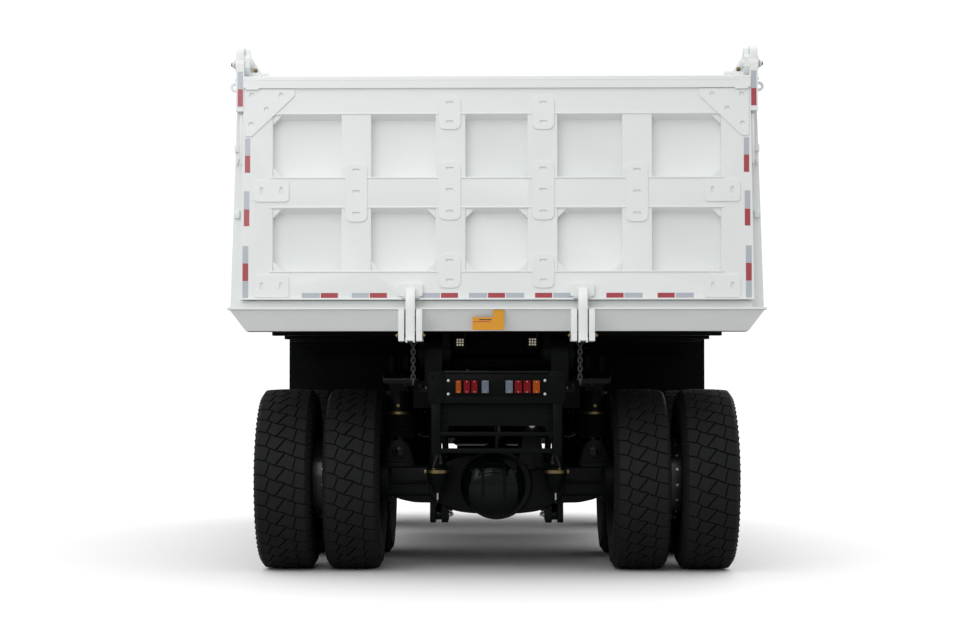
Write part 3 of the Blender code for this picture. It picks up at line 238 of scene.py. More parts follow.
def paint(name, colour, rough, metallic=0.0, dirt=0.15, grain=90.0, relief=0.06, coat=0.0,
          pitted=0.0, dust=DUST, shine=0.5):
    """A material on the weathered skin. Pitted adds the coarser relief of a casting."""
    made = bpy.data.materials.new(name)
    made.use_nodes = True
    tree = made.node_tree
    shader = tree.nodes["Principled BSDF"]
    skin = tree.nodes.new("ShaderNodeGroup")
    skin.node_tree = SKIN
    for title, value in (("Base", (*colour, 1.0)), ("Dust", dust), ("Dirt", dirt), ("Rough", rough),
                         ("Grain", grain), ("Relief", relief)):
        skin.inputs[title].default_value = value
    shader.inputs["Metallic"].default_value = metallic
    shader.inputs["Specular IOR Level"].default_value = shine
    if coat:
        shader.inputs["Coat Weight"].default_value = coat
        shader.inputs["Coat Roughness"].default_value = 0.08
    tree.links.new(skin.outputs["Colour"], shader.inputs["Base Color"])
    tree.links.new(skin.outputs["Roughness"], shader.inputs["Roughness"])
    normal = skin.outputs["Normal"]
    if pitted:
        pits = tree.nodes.new("ShaderNodeGroup")
        pits.node_tree = PITTED
        pits.inputs["Size"].default_value = 55.0
        normal = add_node(tree, "ShaderNodeBump", Strength=pitted, Distance=0.004,
                          Height=pits.outputs["Height"], Normal=normal).outputs[0]
    tree.links.new(normal, shader.inputs["Normal"])
    return made


def tape(name, colour):
    """Reflective tape: small bright cells under a clear film."""
    made = paint(name, colour, 0.3, dirt=0.05, coat=0.6)
    tree = made.node_tree
    shader = tree.nodes["Principled BSDF"]
    place = tree.nodes.new("ShaderNodeTexCoord").outputs["Object"]
    cells = add_node(tree, "ShaderNodeTexVoronoi", Vector=place, Scale=130.0,
                     feature="DISTANCE_TO_EDGE").outputs["Distance"]
    edge = maths(tree, "LESS_THAN", cells, 0.12)
    skin = next(n for n in tree.nodes if n.type == "GROUP")
    lit = mixed(tree, maths(tree, "MULTIPLY", edge, 0.35), skin.outputs["Colour"],
                (*[min(1.0, c * 1.25 + 0.06) for c in colour], 1.0))
    tree.links.new(lit, shader.inputs["Base Color"])
    return made


def lens_material(name, colour, pitch):
    """A moulded lamp lens, ribbed across."""
    made = paint(name, colour, 0.2, dirt=0.03, relief=0.0, coat=0.0, shine=0.15)
    tree = made.node_tree
    shader = tree.nodes["Principled BSDF"]
    place = tree.nodes.new("ShaderNodeTexCoord").outputs["Object"]
    wave = tree.nodes.new("ShaderNodeTexWave")
    wave.bands_direction = "Z"
    wave.inputs["Scale"].default_value = pitch
    tree.links.new(place, wave.inputs["Vector"])
    bump = add_node(tree, "ShaderNodeBump", Strength=0.6, Distance=0.003, Height=wave.outputs[1])
    tree.links.new(bump.outputs[0], shader.inputs["Normal"])
    return made


def glass_material(name, colour, rough):
    made = paint(name, colour, rough, dirt=0.04, relief=0.0)
    shader = made.node_tree.nodes["Principled BSDF"]
    shader.inputs["Transmission Weight"].default_value = 0.85
    shader.inputs["IOR"].default_value = 1.45
    return made


WHITE = paint("body_white", (0.80, 0.825, 0.817), 0.44, dirt=0.05, coat=0.08, relief=0.05)
WHITE_IN = paint("load_bed_white", (0.70, 0.72, 0.70), 0.5, dirt=0.35, pitted=0.1)
BLACK = paint("chassis_black", (0.0026, 0.0036, 0.0032), 0.42, dirt=0.04, relief=0.08,
              dust=(0.03, 0.03, 0.027, 1.0), shine=0.07)
# Near-black for the underside: dark paint on real parts, and painted shade where it stands in for the
# deep shadow under the truck.
UNDER_BLACK_AND_SHADE = paint("underbody_black_and_painted_shade", (0.0030, 0.0040, 0.0036), 0.5, dirt=0.05, relief=0.08,
              dust=(0.03, 0.03, 0.027, 1.0), shine=0.05)
GLOSS = paint("axle_gloss_black", (0.0022, 0.0034, 0.0036), 0.14, dirt=0.02, coat=0.12, shine=0.12,
              dust=(0.05, 0.05, 0.045, 1.0))
CAST = paint("cast_axle_black", (0.0035, 0.0048, 0.0044), 0.45, dirt=0.08, pitted=0.22, shine=0.12,
             dust=(0.035, 0.035, 0.03, 1.0))
RUBBER = paint("tyre_rubber", (0.0034, 0.0042, 0.0040), 0.75, dirt=0.10, pitted=0.18, relief=0.2,
               shine=0.3, dust=(0.04, 0.038, 0.034, 1.0))
RIM = paint("wheel_rim_black", (0.014, 0.015, 0.015), 0.3, dirt=0.12, coat=0.2,
            dust=(0.07, 0.065, 0.06, 1.0))
BELLOWS = paint("bellows_rubber", (0.006, 0.007, 0.007), 0.6, dirt=0.10, pitted=0.1, shine=0.12,
                dust=(0.04, 0.04, 0.035, 1.0))
CHROME = paint("hoist_chrome", (0.62, 0.63, 0.65), 0.12, metallic=1.0, dirt=0.04)
STEEL = paint("bare_steel", (0.50, 0.50, 0.49), 0.32, metallic=1.0, dirt=0.1)
ZINC = paint("zinc_yellow", (0.22, 0.17, 0.085), 0.4, metallic=1.0, dirt=0.12)
BRIGHT_ZINC = paint("zinc_bright", (0.66, 0.66, 0.64), 0.3, metallic=1.0, dirt=0.1)
CHAIN = paint("chain_steel", (0.06, 0.065, 0.06), 0.4, metallic=0.7, dirt=0.15)
EXHAUST = paint("exhaust_steel", (0.35, 0.33, 0.31), 0.45, metallic=1.0, dirt=0.3)
PLASTIC = paint("cab_plastic", (0.035, 0.036, 0.038), 0.55, dirt=0.08, pitted=0.15)
BOARD = paint("splash_board_black", (0.0030, 0.0040, 0.0036), 0.6, dirt=0.05, pitted=0.1,
              shine=0.06)
CLOTH = paint("seat_cloth", (0.04, 0.043, 0.05), 0.9, dirt=0.1, grain=900.0, relief=0.6)
SEALS = paint("rubber_seal", (0.01, 0.01, 0.01), 0.7, dirt=0.05)
TAPE_RED = tape("tape_red", (0.36, 0.033, 0.048))
TAPE_GREY = tape("tape_silver", (0.42, 0.45, 0.50))
STICKER = paint("yellow_sticker", (0.70, 0.30, 0.004), 0.5, dirt=0.03)
STICKER_INK = paint("sticker_ink", (0.10, 0.05, 0.02), 0.4, dirt=0.0)
LENS_RED = lens_material("lamp_red", (0.20, 0.003, 0.007), 70.0)
LENS_AMBER = lens_material("lamp_amber", (0.40, 0.072, 0.005), 70.0)
LENS_CLEAR = lens_material("lamp_clear", (0.16, 0.19, 0.24), 70.0)
LED = paint("lamp_reflector", (0.66, 0.60, 0.46), 0.25, metallic=0.3, dirt=0.0)
GLASS = glass_material("cab_glass", (0.55, 0.62, 0.63), 0.03)
MIRROR = paint("mirror_face", (0.8, 0.82, 0.84), 0.03, metallic=1.0, dirt=0.02)


# Shapes. Each is a bmesh, which a Form takes in with its finish.

def unit(axis):
    return Vector([axis == k for k in "xyz"])


def new_verts(geom):
    return [part for part in geom if isinstance(part, bmesh.types.BMVert)]


def oblong(x0, x1, z0, z1):
    return [(x0, z0), (x1, z0), (x1, z1), (x0, z1)]


def circle(x, z, radius, count):
    turns = [2 * math.pi * k / count for k in range(count)]
    return [(x + radius * math.cos(turn), z + radius * math.sin(turn)) for turn in turns]


def moved(bm, matrix):
    bmesh.ops.transform(bm, matrix=matrix, verts=bm.verts)
    return bm


def eased(bm, width, segments=2, edges=None):
    """Rounds edges. Without a choice, the ones that turn by more than 30 degrees."""
    if width:
        chosen = edges if edges is not None else [
            e for e in bm.edges if len(e.link_faces) == 2 and e.calc_face_angle(0) > 0.52]
        bmesh.ops.bevel(bm, geom=chosen, offset=width, affect="EDGES", segments=segments,
                        profile=0.5, material=-1, clamp_overlap=True)
    return bm


def block(xs, ys, zs, ease=0.004, segments=2):
    bm = bmesh.new()
    bmesh.ops.create_cube(bm, size=1.0)
    bmesh.ops.scale(bm, vec=Vector([abs(b - a) for a, b in (xs, ys, zs)]), verts=bm.verts)
    bmesh.ops.translate(bm, vec=Vector([(a + b) / 2 for a, b in (xs, ys, zs)]), verts=bm.verts)
    return eased(bm, ease, segments)


def rod(start, end, radius, sides=24, end_radius=None, ease=0.0):
    start, end = Vector(start), Vector(end)
    turn = Vector((0, 0, 1)).rotation_difference(end - start).to_matrix().to_4x4()
    bm = bmesh.new()
    bmesh.ops.create_cone(bm, cap_ends=True, segments=sides, radius1=radius,
                          radius2=radius if end_radius is None else end_radius,
                          depth=(end - start).length,
                          matrix=Matrix.Translation((start + end) / 2) @ turn)
    if ease:
        eased(bm, ease, 2, [e for e in bm.edges if e.calc_face_angle(0) > 1.0])
    return bm


def outline_verts(bm, axis, outline, low):
    """An outline's corners on a plane across an axis: (y, z), (x, z) or (x, y) points."""
    places = {"x": lambda a, b: (low, a, b), "y": lambda a, b: (a, low, b),
              "z": lambda a, b: (a, b, low)}
    return [bm.verts.new(places[axis](a, b)) for a, b in outline]


def thickened(bm, axis, depth):
    """A flat bmesh extruded along an axis."""
    grown = bmesh.ops.extrude_face_region(bm, geom=list(bm.faces))["geom"]
    bmesh.ops.translate(bm, vec=unit(axis) * depth, verts=new_verts(grown))
    bmesh.ops.recalc_face_normals(bm, faces=bm.faces)
    return bm


def prism(axis, outline, low, high, ease=0.004):
    bm = bmesh.new()
    bm.faces.new(outline_verts(bm, axis, outline, low))
    return eased(thickened(bm, axis, high - low), ease)


def turned(profile, centre, axis="x", sides=64, side=1, closed=False):
    """A profile of (along, radius) points spun about an axis through the centre."""
    along = unit(axis) * side
    out = Vector((0, 0, -1)) if axis != "z" else Vector((1, 0, 0))
    centre = Vector(centre)
    bm = bmesh.new()
    ring = [bm.verts.new(centre + along * a + out * r) for a, r in profile]
    pairs = list(zip(ring, ring[1:])) + ([(ring[-1], ring[0])] if closed else [])
    edges = [bm.edges.new(pair) for pair in pairs]
    bmesh.ops.spin(bm, geom=ring + edges, cent=centre, axis=along, angle=2 * math.pi, steps=sides,
                   use_merge=True)
    bmesh.ops.remove_doubles(bm, verts=bm.verts, dist=1e-5)
    bmesh.ops.recalc_face_normals(bm, faces=bm.faces)
    return bm


def spun_ring(centre, axis, ring_radius, wire, sides=32, wire_sides=10):
    """A round ring of wire about an axis."""
    return turned(circle(0.0, ring_radius, wire, wire_sides), centre, axis, sides, closed=True)


def through(points, steps=6):
    """Points on a smooth line through the given ones."""
    points = [Vector(p) for p in points]
    ends = [2 * points[0] - points[1], *points, 2 * points[-1] - points[-2]]
    line = []
    for a, b, c, d in zip(ends, ends[1:], ends[2:], ends[3:]):
        for k in range(steps):
            t = k / steps
            line.append(0.5 * ((2 * b) + (c - a) * t + (2 * a - 5 * b + 4 * c - d) * t * t
                               + (3 * b - a - 3 * c + d) * t ** 3))
    return [*line, points[-1]]


def hose(points, radius, sides=10, steps=6):
    """A round line swept along points, closed at both ends."""
    line = through(points, steps) if steps > 1 else [Vector(p) for p in points]
    bm = bmesh.new()
    heading = (line[1] - line[0]).normalized()
    turn = Vector((0, 0, 1)).rotation_difference(heading).to_matrix().to_4x4()
    bmesh.ops.create_circle(bm, cap_ends=True, segments=sides, radius=radius,
                            matrix=Matrix.Translation(line[0]) @ turn)
    tip = list(bm.faces)
    for k in range(1, len(line)):
        grown = bmesh.ops.extrude_face_region(bm, geom=tip)["geom"]
        verts = new_verts(grown)
        bmesh.ops.translate(bm, vec=line[k] - line[k - 1], verts=verts)
        ahead = (line[min(k + 1, len(line) - 1)] - line[k - 1]).normalized()
        bend = heading.rotation_difference(ahead).to_matrix()
        bmesh.ops.rotate(bm, cent=line[k], matrix=bend, verts=verts)
        heading = ahead
        old, tip = tip, [f for f in grown if isinstance(f, bmesh.types.BMFace)]
        if k > 1:
            bmesh.ops.delete(bm, geom=old, context="FACES_ONLY")
    bmesh.ops.recalc_face_normals(bm, faces=bm.faces)
    return bm


def rounded(outline, radius, steps=4):
    """An outline with its corners rounded."""
    made = []
    count = len(outline)
    for k in range(count):
        here = Vector(outline[k]).to_2d()
        before, after = Vector(outline[k - 1]).to_2d(), Vector(outline[(k + 1) % count]).to_2d()
        a, b = (before - here).normalized(), (after - here).normalized()
        reach = min(radius, (before - here).length * 0.49, (after - here).length * 0.49)
        for s in range(steps + 1):
            t = s / steps
            made.append((here + a * reach * (1 - t) ** 2 + b * reach * t * t)[:])
    return made


def slot_outline(centre, width, height):
    w, h = width / 2, height / 2
    x, z = centre
    return rounded(oblong(x - w, x + w, z - h, z + h), min(w, h) * 0.98, 4)


def plate(outline, holes, low, high, axis="y", ease=0.0015):
    """A flat plate with holes, between two planes across an axis."""
    bm = bmesh.new()
    for loop in (outline, *holes):
        ring = outline_verts(bm, axis, loop, low)
        for a, b in zip(ring, ring[1:] + ring[:1]):
            bm.edges.new((a, b))
    bmesh.ops.triangle_fill(bm, use_beauty=True, use_dissolve=False, edges=bm.edges)
    return eased(thickened(bm, axis, high - low), ease, 1)


def bolt(at, heading, size, head=0.6):
    """A hex head on its washer. Size is across the corners, heading points out of the face."""
    at, heading = Vector(at), Vector(heading).normalized()
    bm = rod(at, at + heading * size * 0.14, size * 0.62, 16)
    top = at + heading * size * head
    joined(bm, rod(at + heading * size * 0.1, top, size / 2, 6, ease=size * 0.05))
    return joined(bm, rod(top, at + heading * size * (head + 0.22), size * 0.26, 12))


def joined(bm, part):
    scratch = bpy.data.meshes.new("scratch")
    part.to_mesh(scratch)
    part.free()
    bm.from_mesh(scratch)
    bpy.data.meshes.remove(scratch)
    return bm


class Form:
    """One piece in the making: shapes with their finishes, then its body."""

    def __init__(self, name):
        self.name, self.bm, self.looks = name, bmesh.new(), []

    def add(self, look, *shapes):
        if look not in self.looks:
            self.looks.append(look)
        for shape in shapes:
            for face in shape.faces:
                face.material_index = self.looks.index(look)
            joined(self.bm, shape)
        return self

    def done(self, body, replaces=(), smooth=35.0):
        mesh = bpy.data.meshes.new(self.name)
        self.bm.to_mesh(mesh)
        self.bm.free()
        for look in self.looks:
            mesh.materials.append(look)
        return settle(mesh, self.name, body, replaces, smooth)


def settle(mesh, name, body, replaces=(), smooth=35.0):
    """A finished mesh as a piece that rides on a body, moved to the frame's place."""
    mesh.transform(Matrix.Translation((0.0, AXLE_LINE, 0.0)))
    mesh.shade_smooth()
    mesh.set_sharp_from_angle(angle=math.radians(smooth))
    made = bpy.data.objects.new(name, mesh)
    bpy.context.scene.collection.objects.link(made)
    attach(made, body)
    if replaces:
        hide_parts(*replaces)
    return made


def softened(node, name, look, body, width=0.006, extra=None, second=None):
    """A CAD node's own shape with its edges eased, as folded and welded plate has them."""
    bm = bmesh.new()
    bm.from_mesh(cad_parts[node].data)
    bmesh.ops.remove_doubles(bm, verts=bm.verts, dist=1e-5)
    bmesh.ops.dissolve_limit(bm, angle_limit=math.radians(0.8), verts=bm.verts, edges=bm.edges)
    bmesh.ops.translate(bm, vec=(0.0, -AXLE_LINE, 0.0), verts=bm.verts)
    form = Form(name)
    form.add(look, bm)
    if second:
        form.looks.append(second[0])
        for face in form.bm.faces:
            if second[1](face.calc_center_median(), face.normal):
                face.material_index = 1
    if extra:
        extra(form)
    made = form.done(body, [node], 35.0)
    rounding = made.modifiers.new("eased", "BEVEL")
    rounding.width, rounding.segments = width, 2
    rounding.limit_method, rounding.angle_limit = "ANGLE", math.radians(35)
    rounding.harden_normals = False
    return made


# Tyres

TYRE_RADIUS = AXLE_Z
TREAD_HALF = 0.208
TREAD_DEPTH = 0.024
PITCHES = 38
PITCH = 2 * math.pi * TYRE_RADIUS / PITCHES
TYRE_TURN = 0.31


def along_line(points, at):
    """The height of a bent line at a place."""
    for (a, low), (b, high) in zip(points, points[1:]):
        if at <= b:
            return low + (high - low) * max(0.0, (at - a) / (b - a))
    return points[-1][1]


GROOVE = [(-0.24, 0.070), (-0.205, 0.066), (-0.13, 0.050), (-0.10, 0.030), (-0.045, 0.006),
          (0.035, -0.008), (0.07, -0.030), (0.12, -0.046), (0.205, -0.068), (0.24, -0.070)]
GROOVE_HALF, BLOCK_GAP, WIDE_GAP = 0.0055, 0.0045, 0.003


def crown(u):
    """The tread's radius across its width."""
    share = abs(u) / TREAD_HALF
    return TYRE_RADIUS - 0.010 * share ** 2 - (0.035 * (share - 1) / 0.13 if share > 1 else 0)


def tread_blocks():
    """The blocks of one pitch, flat: x across, y round the tyre, z out of the tread."""
    bars = [(-0.236, -0.236), (-0.135, -0.098), (-0.047, 0.036), (0.100, 0.128), (0.236, 0.236)]
    made = bmesh.new()
    for k, ((l0, l1), (r0, r1)) in enumerate(zip(bars, bars[1:])):
        bm = bmesh.new()
        bmesh.ops.create_grid(bm, x_segments=4, y_segments=3, size=0.5)
        for v in bm.verts:
            s, t = v.co.x + 0.5, v.co.y + 0.5
            left = l0 + (l1 - l0) * t + BLOCK_GAP + (WIDE_GAP if k == 2 else 0.0)
            right = r0 + (r1 - r0) * t - BLOCK_GAP - (WIDE_GAP if k == 1 else 0.0)
            u = left + (right - left) * s
            low = along_line(GROOVE, u) + GROOVE_HALF
            v.co = (u, low + (PITCH - 2 * GROOVE_HALF) * t, 0.0)
        bmesh.ops.recalc_face_normals(bm, faces=bm.faces)
        top = list(bm.faces)
        if top[0].normal.z < 0:
            bmesh.ops.reverse_faces(bm, faces=top)
        rim_edges = [e for e in bm.edges if e.is_boundary]
        walls = bmesh.ops.extrude_edge_only(bm, edges=rim_edges)["geom"]
        bmesh.ops.translate(bm, vec=(0, 0, -TREAD_DEPTH - 0.006), verts=new_verts(walls))
        bmesh.ops.recalc_face_normals(bm, faces=bm.faces)
        if max(bm.faces, key=lambda f: f.calc_center_median().z).normal.z < 0:
            bmesh.ops.reverse_faces(bm, faces=bm.faces)
        edges = [e for e in bm.edges if all(abs(v.co.z) < 1e-6 for v in e.verts)
                 and e.calc_face_angle(0) > 0.8]
        eased(bm, 0.0028, 1, edges)
        joined(made, bm)
    return made


def tyre_mesh():
    """One tyre about the origin, its axle along x."""
    half = [(0.1605, 0.3185), (0.1605, 0.346), (0.176, 0.366), (0.196, 0.400), (0.199, 0.408),
            (0.207, 0.412), (0.222, 0.455), (0.236, 0.505), (0.246, 0.560), (0.2495, 0.610),
            (0.2495, 0.640), (0.2455, 0.645), (0.2455, 0.662), (0.249, 0.667), (0.248, 0.685),
            (0.243, 0.720), (0.234, 0.752), (0.212, 0.779), (0.150, 0.7835), (0.075, 0.7855)]
    profile = half + [(0.0, 0.786)] + [(-a, r) for a, r in reversed(half)]
    bm = turned(profile, (0, 0, 0), "x", 96)
    flat = bpy.data.meshes.new("pitch")
    blocks = tread_blocks()
    blocks.to_mesh(flat)
    blocks.free()
    for k in range(PITCHES):
        bent = bmesh.new()
        bent.from_mesh(flat)
        for v in bent.verts:
            angle = (v.co.y + k * PITCH) / TYRE_RADIUS
            reach = crown(v.co.x) + v.co.z
            v.co = (v.co.x, -math.cos(angle) * reach, math.sin(angle) * reach)
        joined(bm, bent)
    shoulder_ribs = PITCHES * 2
    for k in range(shoulder_ribs):
        turn = Matrix.Rotation(2 * math.pi * k / shoulder_ribs, 4, "X")
        for side in (-1, 1):
            rib = block((side * 0.228, side * 0.244), (-0.006, 0.006), (0.722, 0.752), 0)
            joined(bm, moved(rib, turn))
    bpy.data.meshes.remove(flat)
    mesh = bpy.data.meshes.new("tyre")
    bm.to_mesh(mesh)
    bm.free()
    mesh.materials.append(RUBBER)
    return mesh


def make_tyres():
    first = tyre_mesh()
    spots = [(f"tyre_{place}_{axle}_{hand}", f"wheels_{axle}_{hand}")
             for axle, _ in AXLES for hand, _ in SIDES for place in ("outer", "inner")]
    spots += [(f"tyre_front_{hand}", f"wheel_front_{hand}") for hand, _ in SIDES]
    for number, (node, body) in enumerate(spots):
        mesh = first.copy()
        at = middle(node)
        turn = Matrix.Rotation(TYRE_TURN * number, 4, "X")
        mesh.transform(Matrix.Translation((at.x, at.y - AXLE_LINE, at.z)) @ turn)
        settle(mesh, f"{node}_treaded", body, [node], 40.0)
    bpy.data.meshes.remove(first)


# Wheels

def ring_of(count, radius, centre, make, start=0.0):
    """Copies of a shape round a wheel's axis. Make gives the shape for a place and its angle."""
    shapes = []
    for k in range(count):
        angle = 2 * math.pi * (k + start) / count
        shapes.append(make(centre[0], centre[1] + radius * math.cos(angle),
                           centre[2] + radius * math.sin(angle), angle))
    return shapes


BEAD = 0.3175
RIM_HALF = 0.16


def rim_line(centre):
    """The lips, bead seats and well of one rim, as (along, radius) points."""
    half = [(-RIM_HALF - 0.014, 0.345), (-RIM_HALF - 0.006, 0.352), (-RIM_HALF, 0.345),
            (-RIM_HALF + 0.004, 0.322), (-RIM_HALF + 0.02, BEAD), (-0.05, BEAD - 0.004)]
    line = half + [(0.0, BEAD - 0.012)] + [(-a, r) for a, r in reversed(half)]
    return [(centre + a, r) for a, r in line]


def make_twin_rim(axle, hand, side):
    node = f"twin_rim_{axle}_{hand}"
    outer, inner = middle(f"tyre_outer_{axle}_{hand}"), middle(f"tyre_inner_{axle}_{hand}")
    centre = Vector(((outer.x + inner.x) / 2, outer.y - AXLE_LINE, outer.z))
    half = abs(outer.x - inner.x) / 2
    edge = half + 0.174
    out = Vector((side, 0, 0))
    form = Form(f"{node}_detailed")
    profile = ([(-edge, 0.30)] + rim_line(-half) + [(-half + 0.19, 0.335), (-0.07, 0.340),
               (-0.065, 0.352), (0.065, 0.352), (0.07, 0.340), (half - 0.19, 0.335)]
               + rim_line(half)
               + [(edge, 0.300), (edge - 0.02, 0.292), (0.26, 0.285), (0.235, 0.27),
                  (0.235, 0.225), (0.26, 0.218), (0.27, 0.20), (0.275, 0.185),
                  (0.38, 0.172), (0.394, 0.160), (0.398, 0.13), (0.398, 0.0)])
    drum = [(-0.50, 0.14), (-0.498, 0.245), (-0.49, 0.25), (-0.31, 0.25), (-0.30, 0.262),
            (-0.29, 0.30), (-edge + 0.01, 0.30)]
    form.add(RIM, turned(profile, centre, "x", 72, side), turned(drum, centre, "x", 64, side))
    form.add(BRIGHT_ZINC, *ring_of(20, 0.247, centre, lambda x, y, z, a: bolt(
        (x + side * 0.235, y, z), out, 0.034, 0.9)))
    form.add(BRIGHT_ZINC, *ring_of(12, 0.135, centre, lambda x, y, z, a: bolt(
        (x + side * 0.397, y, z), out, 0.022), 0.5))
    form.add(RIM, *ring_of(12, 0.186, centre, lambda x, y, z, a: bolt(
        (x + side * 0.272, y, z), out, 0.026)))
    form.add(CAST, rod(centre + out * 0.395, centre + out * 0.41, 0.045, 24, ease=0.003))
    form.add(ZINC, bolt(centre + out * 0.397 + Vector((0, 0, 0.075)), out, 0.04))
    # the bolts of the band between the twins, and the inner tyre's valve stem
    form.add(BRIGHT_ZINC, *ring_of(16, 0.353, centre, lambda x, y, z, a: bolt(
        (x + 0.03, y, z), (0, math.cos(a), math.sin(a)), 0.020), 0.3))
    form.add(ZINC, hose([centre + Vector((side * a, b, c)) for a, b, c in (
        (0.30, 0.255, 0.09), (0.36, 0.272, 0.095), (0.45, 0.276, 0.097))], 0.006, 8))
    form.done(f"wheels_{axle}_{hand}", [node])


def make_front_rim(hand, side):
    node = f"rim_front_{hand}"
    tyre = middle(f"tyre_front_{hand}")
    centre = Vector((tyre.x, tyre.y - AXLE_LINE, tyre.z))
    out = Vector((side, 0, 0))
    form = Form(f"{node}_detailed")
    profile = ([(-0.172, 0.30)] + rim_line(0.0)
               + [(0.174, 0.300), (0.155, 0.292), (0.03, 0.285), (0.0, 0.27), (0.0, 0.225),
                  (0.012, 0.216), (0.02, 0.20), (0.022, 0.170), (0.085, 0.152),
                  (0.098, 0.140), (0.10, 0.12), (0.10, 0.0)])
    drum = [(-0.24, 0.10), (-0.238, 0.235), (-0.23, 0.24), (-0.10, 0.24), (-0.09, 0.252),
            (-0.08, 0.30), (-0.16, 0.30)]
    form.add(RIM, turned(profile, centre, "x", 72, side), turned(drum, centre, "x", 64, side))
    form.add(BRIGHT_ZINC, *ring_of(20, 0.247, centre, lambda x, y, z, a: bolt(
        (x, y, z), out, 0.034, 0.9)))
    form.add(BRIGHT_ZINC, *ring_of(10, 0.12, centre, lambda x, y, z, a: bolt(
        (x + side * 0.099, y, z), out, 0.020)))
    form.add(CAST, rod(centre + out * 0.098, centre + out * 0.135, 0.07, 24, ease=0.006))
    form.done(f"wheel_front_{hand}", [node])


def make_wheels():
    for axle, _ in AXLES:
        for hand, side in SIDES:
            make_twin_rim(axle, hand, side)
    for hand, side in SIDES:
        make_front_rim(hand, side)


# Tailgate

GATE_BACK = -1.40
HINGE_Y, HINGE_Z = -1.30, 4.35
PATCH_DEPTH = 0.010
RIB_CENTRES = (0.391, 1.173)
STRIKER_X = 0.7155
LOWER_PANELS, UPPER_PANELS = (2.60, 3.127), (3.386, 3.913)
PANEL_COLUMNS = ((-1.875, -1.297), (-1.05, -0.508), (-0.26, 0.26), (0.508, 1.05), (1.297, 1.875))
PANEL_WEBS = (
    (UPPER_PANELS, 0, "LT LB"), (UPPER_PANELS, 4, "RT RB"), (LOWER_PANELS, 0, "LT LB"),
    (LOWER_PANELS, 4, "RT RB"), (LOWER_PANELS, 1, "RT LB RB"), (LOWER_PANELS, 3, "LT LB RB"),
    (LOWER_PANELS, 2, "LT RT LB RB"))


def gate_patch(outline, holes):
    return plate(outline, holes, GATE_BACK - PATCH_DEPTH, GATE_BACK + 0.0005)


def patch_plate(x, zs, slots_z, width=0.184):
    """A rounded stiffening plate over a rib, with slots welded through it."""
    return gate_patch(rounded(oblong(x - width / 2, x + width / 2, *zs), 0.06, 5),
                      [slot_outline((x, z), 0.062, 0.026) for z in slots_z])


def side_plate(side, zs):
    middle_z = sum(zs) / 2
    return gate_patch(rounded(oblong(side * 1.736, side * 2.033, *zs), 0.035, 4),
                      [slot_outline((side * x, middle_z), 0.026, 0.062) for x in (1.802, 1.965)])


def corner_gusset(side):
    outline = rounded([(side * x, z) for x, z in (
        (2.108, 4.124), (1.69, 4.124), (1.69, 4.068), (2.050, 3.728), (2.098, 3.728),
        (2.108, 3.745))], 0.012, 2)
    return gate_patch(outline, [circle(side * x, z, 0.022, 16) for x, z in (
        (2.049, 4.072), (1.802, 4.072), (1.926, 3.953), (2.054, 3.828))])


def panel_corner(x, z, way_x, way_z, size=0.085):
    """A small triangular web in the corner of a recessed panel."""
    return prism("y", [(x, z), (x + way_x * size, z), (x, z + way_z * size)],
                 GATE_BACK + 0.012, GATE_BACK + 0.09, 0.003)


def tape_strip(form, look, xs, zs, y=GATE_BACK):
    form.add(look, block(xs, (y - 0.0014, y + 0.0004), zs, 0.0))


HORIZONTAL_TAPES = (
    ("grey", -1.628, -1.477), ("red", -1.469, -1.326), ("grey", -1.209, -1.067),
    ("red", -1.059, -0.916), ("grey", -0.615, -0.473), ("red", -0.464, -0.322),
    ("grey", -0.230, -0.079), ("red", -0.071, 0.071), ("grey", 0.079, 0.230),
    ("red", 0.322, 0.464), ("grey", 0.473, 0.623), ("red", 0.916, 1.059), ("grey", 1.067, 1.218),
    ("red", 1.343, 1.485), ("grey", 1.494, 1.644))
UPRIGHT_TAPES = (
    (2.064, 2.108, (("grey", 3.712, 3.570), ("red", 3.568, 3.424))),
    (2.070, 2.116, (("grey", 3.269, 3.118), ("red", 3.116, 2.976))),
    (2.078, 2.126, (("grey", 2.809, 2.666), ("red", 2.664, 2.516), ("grey", 2.514, 2.365))))
TAPES = {"grey": TAPE_GREY, "red": TAPE_RED}


